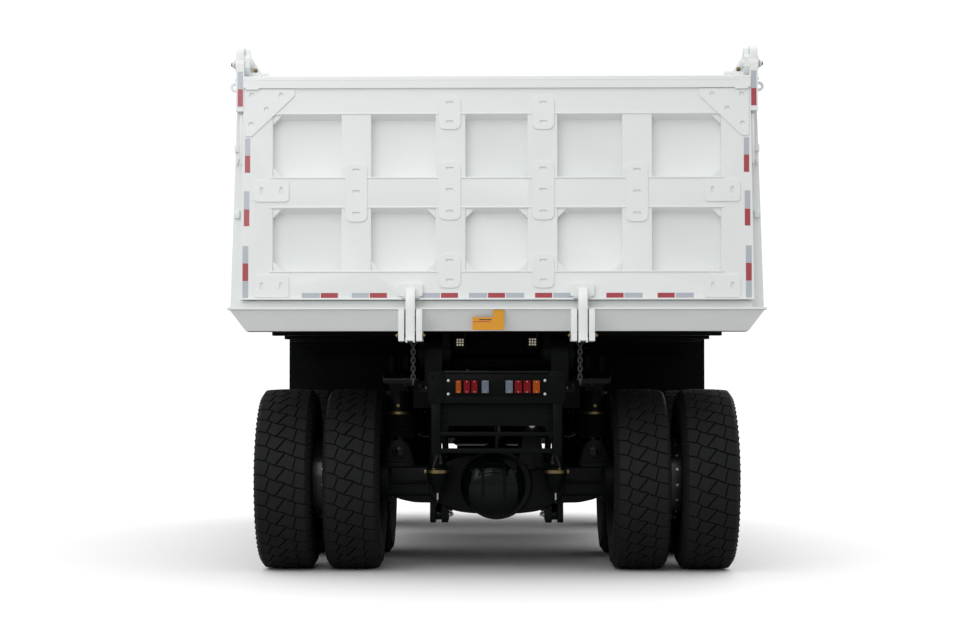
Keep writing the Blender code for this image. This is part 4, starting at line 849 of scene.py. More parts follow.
def make_tailgate():
    """The tailgate's folded sheet with its stiffening plates, webs, arms, bolts and strips."""
    softened("tailgate", "tailgate_welded", WHITE, "gate", 0.005)
    form = Form("tailgate_stiffeners")
    for side in (-1, 1):
        x = side * RIB_CENTRES[0]
        form.add(WHITE, patch_plate(x, (3.784, 4.065), (4.005, 3.846)),
                 patch_plate(x, (3.026, 3.516), (3.455, 3.277, 3.095)),
                 patch_plate(x, (2.457, 2.742), (2.683, 2.518)))
    for side in (-1, 1):
        form.add(WHITE, patch_plate(side * RIB_CENTRES[1], (3.010, 3.503), (3.441, 3.261, 3.079)))
    for (low, high), column, corners in PANEL_WEBS:
        left, right = PANEL_COLUMNS[column]
        for corner in corners.split():
            x, way_x = (left, 1) if corner[0] == "L" else (right, -1)
            z, way_z = (high, -1) if corner[1] == "T" else (low, 1)
            form.add(WHITE, panel_corner(x, z, way_x, way_z))
    for side in (-1, 1):
        form.add(WHITE, side_plate(side, (3.179, 3.364)), side_plate(side, (2.376, 2.566)),
                 corner_gusset(side))
        # the hinge arm's head, its boss and its stepped base
        form.add(WHITE, rod((side * 2.110, HINGE_Y, HINGE_Z), (side * 2.186, HINGE_Y, HINGE_Z),
                            0.088, 32, ease=0.006),
                 rod((side * 2.178, HINGE_Y, HINGE_Z), (side * 2.200, HINGE_Y, HINGE_Z), 0.058, 32,
                     ease=0.004),
                 block((side * 1.99, side * 2.10), (GATE_BACK - 0.028, GATE_BACK + 0.01),
                       (4.118, 4.130), 0.003),
                 prism("y", [(side * 2.00, 4.13), (side * 2.115, 4.13), (side * 2.115, 4.158)],
                       GATE_BACK - 0.025, GATE_BACK + 0.005, 0.002))
        # an upright bar on the gate's edge
        form.add(WHITE, block((side * 2.128, side * 2.158), (GATE_BACK + 0.030, GATE_BACK + 0.10),
                              (3.50, 3.92), 0.006))
    # the fold at the gate's lower edge, and the top rail
    form.add(WHITE, block((-2.140, 2.140), (GATE_BACK - 0.030, GATE_BACK + 0.01), (2.357, 2.372),
                          0.003),
             block((-2.02, 2.02), (GATE_BACK - 0.022, GATE_BACK + 0.10), (4.196, 4.2055), 0.004))
    form.done("gate")
    make_gate_pins()
    make_gate_tapes()
    make_strikers()


def make_gate_pins():
    pins = Form("gate_hinge_bolts")
    for side in (-1, 1):
        pins.add(ZINC, bolt((side * 2.198, HINGE_Y, HINGE_Z), (side, 0, 0), 0.060, 0.45))
    pins.done("gate")


def make_gate_tapes():
    """The reflective strips along the gate's lower edge, up its sides and on its arms."""
    form = Form("gate_reflective_strips")
    for colour, a, b in HORIZONTAL_TAPES:
        tape_strip(form, TAPES[colour], (a, b), (2.374, 2.415))
    for inner, outer, rows in UPRIGHT_TAPES:
        for colour, high, low in rows:
            for side in (-1, 1):
                tape_strip(form, TAPES[colour], (side * inner, side * outer), (low, high))
    for side in (-1, 1):
        for colour, high, low in (("grey", 4.273, 4.127), ("red", 4.125, 3.980)):
            tape_strip(form, TAPES[colour], (side * 2.126, side * 2.170), (low, high),
                       GATE_BACK - 0.005)
    form.done("gate")


def make_gate_lips():
    """The folded lips along the cross ribs, the rail's cap and the tops of the hinge arms."""
    form = Form("gate_lips")
    for z in (3.913, 3.374, 3.127, 2.588):
        form.add(WHITE, block((-1.90, 1.90), (GATE_BACK - 0.0065, GATE_BACK + 0.003), (z, z + 0.012),
                              0.002))
    form.add(WHITE, block((-2.119, 2.119), (GATE_BACK - 0.019, GATE_BACK + 0.13), (4.19, 4.232),
                          0.006, 3))
    arm = [(-1.398, 4.36), (-1.252, 4.36), (-1.262, 4.455), (-1.283, 4.492), (-1.32, 4.505),
           (-1.357, 4.492), (-1.388, 4.455)]
    for side in (-1, 1):
        form.add(WHITE, prism("x", rounded(arm, 0.02, 3), side * 2.1185, side * 2.1835, 0.004))
    form.done("gate")


def make_strikers():
    """The gate's lower latch arms: a curved strap with a hooked foot."""
    form = Form("gate_latch_arms")
    for side in (-1, 1):
        x = side * STRIKER_X
        outline = [(-1.42, 2.45), (-1.465, 2.452), (-1.515, 2.42), (-1.543, 2.36), (-1.546, 2.28),
                   (-1.535, 2.10), (-1.54, 2.03), (-1.545, 2.012), (-1.50, 2.008),
                   (-1.47, 2.05), (-1.46, 2.20), (-1.462, 2.34), (-1.48, 2.37), (-1.42, 2.38)]
        form.add(WHITE, prism("x", outline, x - 0.0385, x + 0.0385, 0.006),
                 plate(rounded(oblong(x - 0.10, x + 0.10, 2.385, 2.492), 0.018, 3), [],
                       GATE_BACK - 0.034, GATE_BACK - 0.001))
        for end in (-0.031, 0.031):
            form.add(WHITE, block((x + end - 0.0075, x + end + 0.0075), (-1.551, -1.50),
                                  (1.997, 2.03), 0.003))
    form.done("gate")


# Dump body

SILL_BACK = -1.4216
RAIL_LOW, RAIL_HIGH = 2.357, 4.13


def make_body():
    """The load body: white, and near-black where its underside shows, which is dark paint there and
    painted shade for the deep shadow under the body.
    """
    # painted shade: faces low on the body, and faces turned down, take the near-black for the shadow
    # under it
    softened("dump_body", "dump_body_welded", WHITE, "bed", 0.006, second=(
        UNDER_BLACK_AND_SHADE, lambda at, way: at.z < 2.30 and abs(at.x) < 2.14 and (at.y > -1.09 or way.z < -0.9)
        and at.y > -1.44))
    form = Form("dump_body_details")
    for side in (-1, 1):
        add_latch_ears(form, side)
        add_hinge_bracket(form, side)
        add_side_fittings(form, side)
        add_front_ribs(form, side)
        add_bracket_top(form, side)
    form.add(WHITE, block((-2.015, 2.015), (7.84, 7.899), (4.55, 4.695), 0.008, 3))
    form.done("bed")
    make_side_tapes()
    make_stickers()
    make_liner()


def add_latch_ears(form, side):
    """The pair of ears on the sill that take a latch arm's foot, with bolts and the cross pin."""
    ear = [(-1.44, 2.275), (-1.53, 2.275), (-1.552, 2.25), (-1.552, 2.09), (-1.545, 2.03),
           (-1.52, 2.006), (-1.44, 2.006)]
    for inner, outer in ((0.617, 0.665), (0.766, 0.813)):
        a, b = sorted((side * inner, side * outer))
        form.add(WHITE, prism("x", ear, a - 0.001, b + 0.001, 0.005))
        mid = side * (inner + outer) / 2
        way = 1 if mid > side * STRIKER_X else -1
        form.add(ZINC, bolt((mid + way * 0.025, -1.50, 2.055), (way, 0, 0), 0.034, 0.5))
    form.add(ZINC, bolt((side * 0.664, -1.51, 2.22), (side, 0, 0), 0.030, 0.5))
    form.add(BLACK, rod((side * 0.66, -1.49, 2.055), (side * 0.77, -1.49, 2.055), 0.016, 16))


def add_hinge_bracket(form, side):
    """The gate hinge's bracket: a triangular web, a slotted plate, bolts and a lifting ring."""
    web = [(side * x, z) for x, z in (
        (2.10, 4.20), (2.10, 4.415), (2.06, 4.40), (1.985, 4.285), (1.985, 4.20))]
    base = rounded(oblong(side * 2.13, side * 1.912, 4.190, 4.286), 0.022, 4)
    window = rounded(oblong(side * 1.992, side * 1.933, 4.222, 4.262), 0.012, 3)
    form.add(WHITE, prism("y", web, -1.262, -1.240, 0.004), plate(base, [window], -1.285, -1.263))
    for x, z in ((2.080, 4.345), (2.038, 4.307)):
        form.add(ZINC, bolt((side * x, -1.262, z), (0, -1, 0), 0.030, 0.8))
    ring, hole = circle(side * 2.215, 4.168, 0.040, 24), circle(side * 2.215, 4.168, 0.019, 20)
    form.add(WHITE, plate(ring, [hole], -1.236, -1.214),
             block((side * 2.14, side * 2.195), (-1.236, -1.214), (4.12, 4.16), 0.003),
             block((side * 2.165, side * 2.208), (-1.30, -1.24), (4.218, 4.232), 0.003))


def add_side_fittings(form, side):
    """Blocks and an angled plate on the rear post, rope hooks, and the rungs near the front."""
    for z in (3.655, 3.10):
        form.add(WHITE, block((side * 2.168, side * 2.212), (-1.275, -1.235),
                              (z - 0.045, z + 0.02), 0.006))
    form.add(WHITE, prism("y", [(side * 2.15, 3.63), (side * 2.20, 3.60), (side * 2.20, 3.50),
                                (side * 2.19, 3.50)], -1.262, -1.240, 0.003))
    for k in range(6):
        y = -0.80 + 1.0 * k
        form.add(WHITE, hose([(side * x, y, z) for x, z in (
            (2.150, 4.02), (2.185, 3.99), (2.190, 3.95), (2.165, 3.93))], 0.007, 8, 4))
    for z in (2.75, 3.10, 3.45, 3.80):
        form.add(WHITE, hose([(side * x, y, z) for x, y in (
            (2.09, 3.62), (2.195, 3.62), (2.195, 3.92), (2.09, 3.92))], 0.011, 8, 1))


def add_front_ribs(form, side):
    """Ribs on the sloped front wall and under the canopy, and the fillet at the side wall."""
    for x in (0.60, 1.20, 1.80):
        form.add(WHITE, prism("x", [(4.635, 2.30), (4.69, 2.32), (5.14, 4.10), (5.085, 4.14)],
                              side * (x - 0.05), side * (x + 0.05), 0.006))
    for x in (0.80, 1.60):
        form.add(WHITE, prism("x", [(5.30, 4.29), (5.30, 4.365), (7.86, 4.60), (7.86, 4.545)],
                              side * (x - 0.035), side * (x + 0.035), 0.005))
    form.add(WHITE, prism("x", [(4.60, 2.32), (4.66, 2.32), (5.07, 4.15), (4.60, 4.15)],
                          side * 2.052, side * 2.094, 0.004))


def add_bracket_top(form, side):
    """The rounded top of the cheek that carries the gate's pin."""
    top = [(-1.375, 4.33), (-1.21, 4.33), (-1.245, 4.44), (-1.285, 4.478), (-1.345, 4.478)]
    form.add(WHITE, prism("x", rounded(top, 0.02, 3), side * 2.0755, side * 2.1160, 0.004))


def bed_face(z):
    """The outer face of the body's lower rail at a height."""
    share = (z - RAIL_LOW) / (RAIL_HIGH - RAIL_LOW)
    return 2.246 - 0.056 * share - 0.006


def make_side_tapes():
    form = Form("body_reflective_strips")
    low, high, proud, thick = 2.27, 2.32, 0.0008, 0.0014
    for side in (-1, 1):
        outline = [(side * (bed_face(z) + proud + extra), z)
                   for z, extra in ((low, 0.0), (low, thick), (high, thick), (high, 0.0))]
        for k in range(6):
            y = -0.72 + 0.96 * k
            form.add(TAPE_GREY, prism("y", outline, y, y + 0.15, 0))
            form.add(TAPE_RED, prism("y", outline, y + 0.151, y + 0.30, 0))
    form.done("bed")


def make_stickers():
    form = Form("sill_stickers")
    face, print_face = (SILL_BACK, -1.4195), (SILL_BACK - 0.0003, -1.4195)
    form.add(STICKER, block((-0.202, -0.030), face, (2.104, 2.211), 0),
             block((-0.028, 0.063), face, (2.104, 2.273), 0))
    form.add(STICKER_INK, block((-0.145, -0.040), print_face, (2.186, 2.196), 0))
    form.add(TAPE_RED, block((-0.196, -0.052), print_face, (2.170, 2.177), 0))
    form.done("bed")


def make_liner():
    """The grimy floor plates inside the load bed."""
    form = Form("load_bed_liner")
    for k in range(5):
        y = -1.20 + 1.14 * k
        form.add(WHITE_IN, block((-1.98, 1.98), (y, y + 1.13), (2.3495, 2.3575), 0.002))
    form.done("bed")


# Undercarriage

AXLE_MID_Z = 0.77


def ring_bolts(count, radius, centre, axis, size, start=0.0):
    """Bolts on a circle, their heads towards -Y, or towards the sides or the top."""
    made = []
    for k in range(count):
        turn = start + 2 * math.pi * k / count
        a, b = radius * math.cos(turn), radius * math.sin(turn)
        x, y, z = centre
        at = {"y": (x + a, y, z + b), "x": (x, y + a, z + b), "z": (x + a, y + b, z)}[axis[-1]]
        heading = unit(axis[-1]) * (-1 if axis[0] == "-" else 1)
        made.append(bolt(at, heading, size))
    return made


def make_frame():
    """The chassis rails with their bolts, strut sockets, pipes and air tanks."""
    def extra(form):
        for side in (-1, 1):
            for k in range(15):
                y = -0.80 + 0.60 * k
                for z in (1.36, 1.60):
                    form.add(BLACK, bolt((side * 0.54, y, z), (side, 0, 0), 0.030))
            for y in (0.0, 1.8):
                for dx in (-0.05, 0.0, 0.05):
                    form.add(BLACK, bolt((side * 0.885 + dx, y - 0.04, 1.782), (0, 0, 1), 0.026))
                form.add(GLOSS, turned([(0.70, 0), (0.70, 0.07), (0.715, 0.086), (1.02, 0.086),
                                        (1.032, 0.076), (1.032, 0)], (0, y, 1.70), "x", 40, side))
                form.add(GLOSS, turned([(0.0, 0.088), (0.0, 0.112), (0.03, 0.112), (0.03, 0.088)],
                                       (side * 0.84, y, 1.70), "x", 40, closed=True))
            form.add(BLACK, *[bolt((side * 0.44, -1.021, z), (0, -1, 0), 0.03)
                              for z in (1.34, 1.42, 1.50, 1.58)])
            form.add(BLACK, block((side * 0.54, side * 0.66), (-1.10, -1.02), (1.585, 1.615)))
            form.add(BLACK, block((side * 0.635, side * 0.66), (-1.10, -1.02), (1.60, 1.66)))
            form.add(ZINC, rod((side * 0.60, -1.06, 1.614), (side * 0.60, -1.06, 1.635), 0.011))
        for k, (x, z) in enumerate(((-0.36, 1.56), (-0.33, 1.50), (0.30, 1.52), (0.36, 1.45))):
            form.add(SEALS, hose([(x, -0.88, z), (x, 0.3, z + 0.02), (x * 0.98, 1.5, z - 0.05),
                                  (x, 3.0, z), (x, 4.4, z - 0.03)], 0.014 + 0.004 * (k % 2), 8, 3))
            form.add(ZINC, *[rod((x, y, z), (x, y + 0.03, z), 0.021, 12) for y in (-0.85, 2.9)])

    softened("chassis_frame", "frame_rails", BLACK, "chassis", 0.008, extra)
    for hand, side in SIDES:
        tanks = Form(f"air_tanks_{hand}")
        for z in (1.27, 1.53):
            tanks.add(BLACK, turned(
                [(-0.34, 0), (-0.335, 0.04), (-0.31, 0.09), (-0.27, 0.118), (-0.25, 0.122),
                 (0.25, 0.122), (0.27, 0.118), (0.31, 0.09), (0.335, 0.04), (0.34, 0)],
                (side * 0.73, 2.50, z), "y", 40))
            for y in (2.32, 2.68):
                tanks.add(STEEL, spun_ring((side * 0.73, y, z), "y", 0.1235, 0.004, 40, 8))
                tanks.add(BLACK, block((side * 0.54, side * 0.64), (y - 0.03, y + 0.03),
                                       (z - 0.05, z + 0.05)))
            tanks.add(ZINC, rod((side * 0.73, 2.50, z - 0.135), (side * 0.73, 2.50, z - 0.11), 0.015))
        tanks.done("chassis")


def lamp(form, look, xs, zs):
    """A square tail lamp: its black housing, a lipped lens, two screws."""
    form.add(BLACK, block(xs, (-1.138, -1.112), zs, 0.006, 3))
    lens = (xs[0] + 0.004, xs[1] - 0.004), (-1.148, -1.134), (zs[0] + 0.004, zs[1] - 0.004)
    form.add(look, block(*lens, 0.005, 3))
    centre = (xs[0] + xs[1]) / 2
    for z in (zs[0] + 0.014, zs[1] - 0.014):
        form.add(BRIGHT_ZINC, rod((centre, -1.150, z), (centre, -1.147, z), 0.004, 10))


def make_lamp_guard():
    """The barred frame under the tail with its lamp board, and the tail lamps."""
    form = Form("lamp_guard_frame")
    back, front = -1.10, -1.0203
    for side in (-1, 1):
        form.add(BLACK, block((side * 0.475, side * 0.555), (back, front), (1.05, 1.52), 0.008))
        form.add(BLACK, prism("y", rounded(oblong(side * 0.44, side * 0.584, 1.49, 1.769), 0.045, 5),
                              -1.108, -1.100, 0.002))
        form.add(BLACK, block((side * 0.46, side * 0.545), (-1.101, front), (1.50, 1.70), 0.006))
        for z in (1.686, 1.571):
            form.add(BRIGHT_ZINC, bolt((side * 0.41, -1.112, z), (0, -1, 0), 0.019))
        for z in (1.72, 1.53):
            form.add(BLACK, bolt((side * 0.545, -1.108, z), (0, -1, 0), 0.026))
    for low, high in ((1.215, 1.25), (1.070, 1.11)):
        form.add(BLACK, block((-0.49, 0.49), (back + 0.006, front - 0.008), (low, high), 0.006, 3))
    form.add(BLACK, block((-0.010, 0.010), (back + 0.02, front - 0.02), (1.09, 1.23), 0.003))
    form.add(BLACK, block((-0.555, 0.555), (back, front), (1.49, 1.557), 0.008, 3))
    form.add(BLACK, block((-0.431, 0.443), (-1.112, -1.104), (1.564, 1.737), 0.003))
    form.add(GLOSS, block((-0.45, 0.45), (-1.122, -1.085), (1.750, 1.769), 0.005, 3))
    form.add(BLACK, block((-0.45, 0.45), (-1.104, -1.098), (1.55, 1.76), 0.002))
    form.add(BLACK, block((-0.40, 0.40), (-1.098, -1.05), (1.60, 1.67), 0.006))
    form.add(SEALS, hose([(-0.40, -1.09, 1.60), (-0.30, -1.075, 1.545), (0.0, -1.07, 1.565),
                          (0.30, -1.075, 1.545), (0.40, -1.09, 1.60)], 0.011, 8, 4))
    form.done("chassis", ["lamp_guard"])
    for name, look, spans in (
        ("tail_lamps_amber", LENS_AMBER, ((-0.350, -0.296), (0.303, 0.371))),
        ("tail_lamps_red", LENS_RED, ((-0.283, -0.222), (-0.218, -0.157), (0.149, 0.219),
                                      (0.223, 0.294))),
        ("tail_lamps_white", LENS_CLEAR, ((-0.130, -0.062), (0.072, 0.142))),
    ):
        form = Form(name)
        form.add(look, block((spans[0][0] + 0.01, spans[0][1] - 0.01), (-1.1475, -1.14),
                             (1.59, 1.60), 0.001))
        for xs in spans:
            lamp(form, look, xs, (1.575, 1.691))
        form.done("chassis")


def make_work_lamps():
    """Two LED work lamps under the rear of the body, each on a folded bracket."""
    form = Form("work_lamps")
    face = -1.094
    for x, z in ((-0.310, 2.011), (0.306, 2.015)):
        form.add(BLACK, block((x - 0.0395, x + 0.0395), (face + 0.005, face + 0.05),
                              (z - 0.0395, z + 0.0395), 0.008, 3))
        for k in range(6):
            form.add(BLACK, block((x - 0.034 + 0.0125 * k, x - 0.029 + 0.0125 * k),
                                  (face + 0.048, face + 0.066), (z - 0.03, z + 0.03), 0.001, 1))
        for row in (-1, 0, 1):
            for column in (-1, 0, 1):
                at_x, at_z = x + 0.022 * column, z + 0.022 * row
                form.add(LED, rod((at_x, face + 0.001, at_z), (at_x, face + 0.007, at_z), 0.0085, 16))
        form.add(BLACK, block((x - 0.047, x + 0.047), (face + 0.022, face + 0.042),
                              (z - 0.054, z - 0.049), 0.002))
        for side in (-1, 1):
            form.add(BLACK, block((x + side * 0.043, x + side * 0.047), (face + 0.018, face + 0.048),
                                  (z - 0.053, 2.215), 0.001))
        form.add(SEALS, hose([(x, face + 0.06, z), (x + 0.02, face + 0.09, z + 0.02),
                              (x + 0.05, face + 0.10, z + 0.10), (x + 0.05, face + 0.10, 2.215)],
                             0.006, 8, 4))
    # the plate and cross tube between the body's rails, ahead of the lamps. The plate is painted shade:
    # a near-black sheet that hides the lit parts further forward, where the space between the lamps is
    # in deep shadow
    form.add(UNDER_BLACK_AND_SHADE, block((-0.418, 0.418), (-0.462, -0.45), (1.80, 2.215), 0.003))
    form.add(UNDER_BLACK_AND_SHADE, rod((-0.418, -0.50, 1.86), (0.418, -0.50, 1.86), 0.06, 32))
    form.done("bed")


def make_chains():
    """The two stay chains hanging from the body's tail, with their shackles."""
    form = Form("stay_chains")
    for side in (-1, 1):
        x, y = side * 0.706, -1.16
        form.add(CHAIN, rod((x - 0.03, y, 2.025), (x + 0.03, y, 2.025), 0.010, 16))
        for cheek in (x - 0.030, x + 0.030):
            form.add(CHAIN, block((cheek - 0.005, cheek + 0.005), (y - 0.02, y + 0.02), (2.00, 2.12),
                                  0.003))
        for k in range(10):
            link = spun_ring((0, 0, 0), "y", 0.0165, 0.0062, 14, 7)
            bmesh.ops.scale(link, vec=(1.0, 1.0, 1.6), verts=link.verts)
            turn = Matrix.Rotation(math.radians(90 * (k % 2) + 12), 4, "Z")
            moved(link, Matrix.Translation((x, y, 2.002 - 0.036 * k)) @ turn)
            form.add(CHAIN, link)
    form.done("bed")


def make_axle(axle, y, way):
    """A driven axle: its housing, and on each side its hub, rods, ears and brake chamber."""
    form = Form(f"{axle}_axle_casting")
    add_housing(form, axle, y)
    for side in (-1, 1):
        add_axle_end(form, side, y)
        add_rod_plates(form, side, y, way)
        add_ears(form, side, y)
        add_chamber(form, side, y - 0.42)
    add_cross_rod(form, y)
    form.done("chassis", [f"{axle}_axle"])


def add_housing(form, axle, y):
    """The banjo housing, its pinion nose, the rear cover's dome, ribs and pump cap."""
    beam = [(-0.62, 0.66), (-0.42, 0.53), (-0.2, 0.50), (0.2, 0.50), (0.42, 0.53), (0.62, 0.66),
            (0.62, 0.90), (0.30, 1.03), (-0.30, 1.03), (-0.62, 0.90)]
    form.add(CAST, prism("y", rounded(beam, 0.10, 4), y - 0.17, y + 0.17, 0.03))
    form.add(CAST, block((-1.02, 1.02), (y - 0.15, y + 0.15), (0.655, 0.93), 0.035, 4))
    form.add(CAST, turned([(-0.222, 0), (-0.222, 0.305), (-0.205, 0.317), (0.205, 0.317),
                           (0.222, 0.305), (0.222, 0)], (0, y, AXLE_MID_Z), "y"))
    form.add(CAST, turned([(0.21, 0), (0.21, 0.225), (0.26, 0.22), (0.42, 0.15), (0.60, 0.105),
                           (0.6195, 0.10), (0.6195, 0)], (0, y, AXLE_MID_Z), "y", 48))
    form.add(GLOSS, turned([(-0.345, 0), (-0.343, 0.08), (-0.335, 0.14), (-0.319, 0.19),
                            (-0.295, 0.235), (-0.265, 0.268), (-0.238, 0.286), (-0.21, 0.292)],
                           (-0.03, y, 0.76), "y", 72))
    for x in (-0.12, 0.07):
        form.add(CAST, hose([(x, y - 0.25, 1.01), (x, y - 0.315, 0.92), (x, y - 0.332, 0.84),
                             (x, y - 0.338, 0.74), (x, y - 0.325, 0.64)], 0.014, 10, 5))
    form.add(CAST, turned([(-0.30, 0), (-0.30, 0.03), (-0.292, 0.072), (-0.28, 0.084),
                           (-0.21, 0.084)], (0.10, y, 0.928), "y", 40))
    form.add(CAST, *ring_bolts(5, 0.062, (0.10, y - 0.292, 0.928), "-y", 0.016, 0.3))
    if axle == "middle":
        form.add(CAST, turned([(-0.399, 0), (-0.399, 0.086), (-0.385, 0.092), (-0.33, 0.092),
                               (-0.30, 0.11)], (0, y, AXLE_MID_Z), "y", 40))


def add_axle_end(form, side, y):
    """The hub carrier and axle tube, the brake pipe on its clips, and the beam's lower web."""
    form.add(CAST, turned([(0.94, 0), (0.94, 0.17), (0.975, 0.20), (1.071, 0.20), (1.071, 0)],
                          (0, y, AXLE_Z), "x", 48, side))
    form.add(CAST, turned([(1.0, 0), (1.0, 0.128), (1.50, 0.128), (1.50, 0)], (0, y, AXLE_Z), "x",
                          32, side))
    form.add(BLACK, hose([(side * 0.60, y - 0.163, 0.79), (side * 0.80, y - 0.166, 0.782),
                          (side * 1.02, y - 0.163, 0.788)], 0.0125, 8, 4))
    web = [(side * x, z) for x, z in ((0.30, 0.90), (0.30, 0.56), (0.50, 0.595), (0.74, 0.60),
                                      (0.86, 0.625), (0.99, 0.68), (1.0, 0.90))]
    form.add(CAST, prism("y", rounded(web, 0.03, 3), y - 0.13, y + 0.13, 0.02))
    for x in (0.66, 0.98):
        form.add(BLACK, block((side * (x - 0.012), side * (x + 0.012)), (y - 0.182, y - 0.148),
                              (0.765, 0.81), 0.003))
    form.add(BRIGHT_ZINC, bolt((side * 0.71, y - 0.02, 0.655), (0, 0, -1), 0.034))


def add_rod_plates(form, side, y, way):
    """The two plates under the axle, and the radius rod on the pin between them."""
    plate_line = [(y - 0.11, 0.415), (y + 0.12, 0.415), (y + 0.14, 0.70), (y - 0.13, 0.70)]
    for low, high in ((0.438, 0.497), (0.548, 0.5997)):
        form.add(CAST, prism("x", rounded(plate_line, 0.05, 4), side * low, side * high, 0.006))
    form.add(GLOSS, rod((side * 0.43, y, 0.49), (side * 0.5997, y, 0.49), 0.052, 28, ease=0.006))
    form.add(BRIGHT_ZINC, bolt((side * 0.43, y, 0.49), (-side, 0, 0), 0.05))
    end = Vector((side * 0.55, y + way * 0.78, 0.66))
    form.add(BLACK, rod((side * 0.524, y, 0.49), end, 0.032, 24))
    form.add(BLACK, rod((side * 0.50, end.y, end.z), (side * 0.5997, end.y, end.z), 0.06, 32,
                        ease=0.008))
    form.add(BRIGHT_ZINC, bolt((side * 0.50, end.y, end.z), (-side, 0, 0), 0.05))


def add_ears(form, side, y):
    """The two cheeks that hold a strut's foot, with their pin's nuts."""
    round_top = [(0.883 + 0.10 * math.cos(t), 1.065 + 0.10 * math.sin(t))
                 for t in map(math.radians, range(10, 171, 16))]
    outline = [(side * a, b) for a, b in
               [(0.745, 0.90), (1.02, 0.90), (1.02, 0.965)] + round_top + [(0.745, 0.965)]]
    for way in (-1, 1):
        near, far = y + way * 0.0903, y + way * 0.128
        form.add(CAST, prism("y", outline, near, far, 0.005))
        face = (side * 0.872, far, 1.06)
        form.add(CAST, rod(face, (face[0], y + way * 0.142, face[2]), 0.068, 36, ease=0.004))
        form.add(GLOSS, rod((face[0], y + way * 0.142, face[2]),
                            (face[0], y + way * 0.158, face[2]), 0.038, 28, ease=0.003))
        form.add(CAST, block((side * 0.75, side * 1.015), (near, far + way * 0.03),
                             (0.92, 0.955), 0.006))


def add_chamber(form, side, y):
    """A spring brake chamber standing on its bracket, with clamp and fittings."""
    x = side * 0.522
    form.add(BLACK, turned([(0.70, 0.02), (0.715, 0.042), (0.755, 0.052), (0.80, 0.085),
                            (0.865, 0.096), (0.889, 0.098)], (x, y, 0), "z", 40))
    form.add(BLACK, turned([(0.889, 0.098), (0.925, 0.092), (0.94, 0.0765), (1.015, 0.0765),
                            (1.038, 0.066), (1.045, 0.04), (1.045, 0)], (x, y, 0), "z", 40))
    form.add(ZINC, turned([(0.875, 0.096), (0.875, 0.102), (0.903, 0.102), (0.903, 0.096)],
                          (x, y, 0), "z", 40, closed=True))
    form.add(ZINC, block((x + side * 0.088, x + side * 0.118), (y - 0.018, y + 0.018),
                         (0.873, 0.905), 0.004))
    form.add(ZINC, rod((x + side * 0.105, y - 0.035, 0.889), (x + side * 0.105, y + 0.035, 0.889),
                       0.006, 10))
    for dx, back, z in ((-0.03, 0.078, 0.975), (0.03, 0.088, 0.92)):
        form.add(ZINC, rod((x + side * dx, y - back, z), (x + side * dx, y - back - 0.027, z), 0.011,
                           12))
    form.add(CAST, block((x - 0.05, x + 0.05), (y + 0.02, y + 0.29), (0.76, 0.80), 0.008))
    form.add(CAST, block((x - 0.045, x + 0.045), (y + 0.16, y + 0.29), (0.69, 0.83), 0.012))
    form.add(STEEL, rod((x, y, 0.62), (x, y, 0.71), 0.011, 14))
    form.add(CAST, block((x - 0.014, x + 0.014), (y - 0.03, y + 0.28), (0.608, 0.640), 0.008))
    for dx, z in ((-0.03, 0.975), (0.03, 0.92)):
        form.add(SEALS, hose([(x + side * dx, y - 0.10, z), (x + side * dx, y - 0.14, z + 0.03),
                              (x - side * 0.02, y - 0.12, z + 0.16), (side * 0.50, y + 0.02, 1.20),
                              (side * 0.48, y + 0.16, 1.252)], 0.009, 8, 5))


def add_cross_rod(form, y):
    """The sideways locating rod, its bushings and the axle's post for it."""
    left, right = (-0.32, y - 0.30, 1.417), (0.316, y - 0.30, 1.30)
    form.add(BLACK, rod(left, right, 0.030, 24))
    for (x, at, z), size in ((left, 0.067), (right, 0.063)):
        form.add(BLACK, rod((x, at - 0.05, z), (x, at + 0.05, z), size, 36, ease=0.006))
        form.add(SEALS, rod((x, at - 0.056, z), (x, at + 0.056, z), size * 0.68, 32, ease=0.003))
        form.add(BRIGHT_ZINC, bolt((x, at - 0.056, z), (0, -1, 0), 0.046))
    form.add(CAST, prism("y", [(0.19, 0.96), (0.44, 0.90), (0.375, 1.30), (0.316, 1.355),
                               (0.255, 1.30)], y - 0.248, y - 0.15, 0.008))
    form.add(CAST, block((0.27, 0.36), (y - 0.25, y - 0.12), (0.90, 1.10), 0.012))


def make_strut(name, x, y, pin_z, ear):
    """A gas and oil strut: eye, rod, bellows, bright collar, cylinder and filler."""
    top = 1.5997
    form = Form(f"{name}_unit")
    form.add(BLACK, turned([(1.395, 0), (1.395, 0.118), (1.575, 0.118), (1.59, 0.11), (top, 0.11),
                            (top, 0)], (x, y, 0), "z", 48))
    form.add(ZINC, turned([(1.388, 0), (1.388, 0.122), (1.393, 0.126), (1.415, 0.126),
                           (1.42, 0.120), (1.42, 0)], (x, y, 0), "z", 48))
    foot = pin_z + 0.12
    folds, line = 8, [(foot, 0.0), (foot, 0.118)]
    step = (1.386 - foot - 0.012) / folds
    for k in range(folds):
        z = foot + 0.006 + step * k
        line += [(z, 0.122), (z + step * 0.30, 0.141), (z + step * 0.5, 0.145),
                 (z + step * 0.70, 0.141), (z + step, 0.122)]
    line += [(1.386, 0.118), (1.386, 0.0)]
    form.add(BELLOWS, turned(line, (x, y, 0), "z", 48))
    form.add(GLOSS, turned([(pin_z, 0), (pin_z, 0.055), (pin_z + 0.12, 0.055), (pin_z + 0.12, 0)],
                           (x, y, 0), "z", 32))
    form.add(BLACK, rod((x, y - ear + 0.004, pin_z), (x, y + ear - 0.004, pin_z), 0.066, 36,
                        ease=0.006))
    form.add(ZINC, rod((x, y - 0.118, 1.47), (x, y - 0.150, 1.47), 0.016, 16, ease=0.003))
    form.add(ZINC, bolt((x, y - 0.146, 1.47), (0, -1, 0), 0.024))
    form.done("chassis", [name])


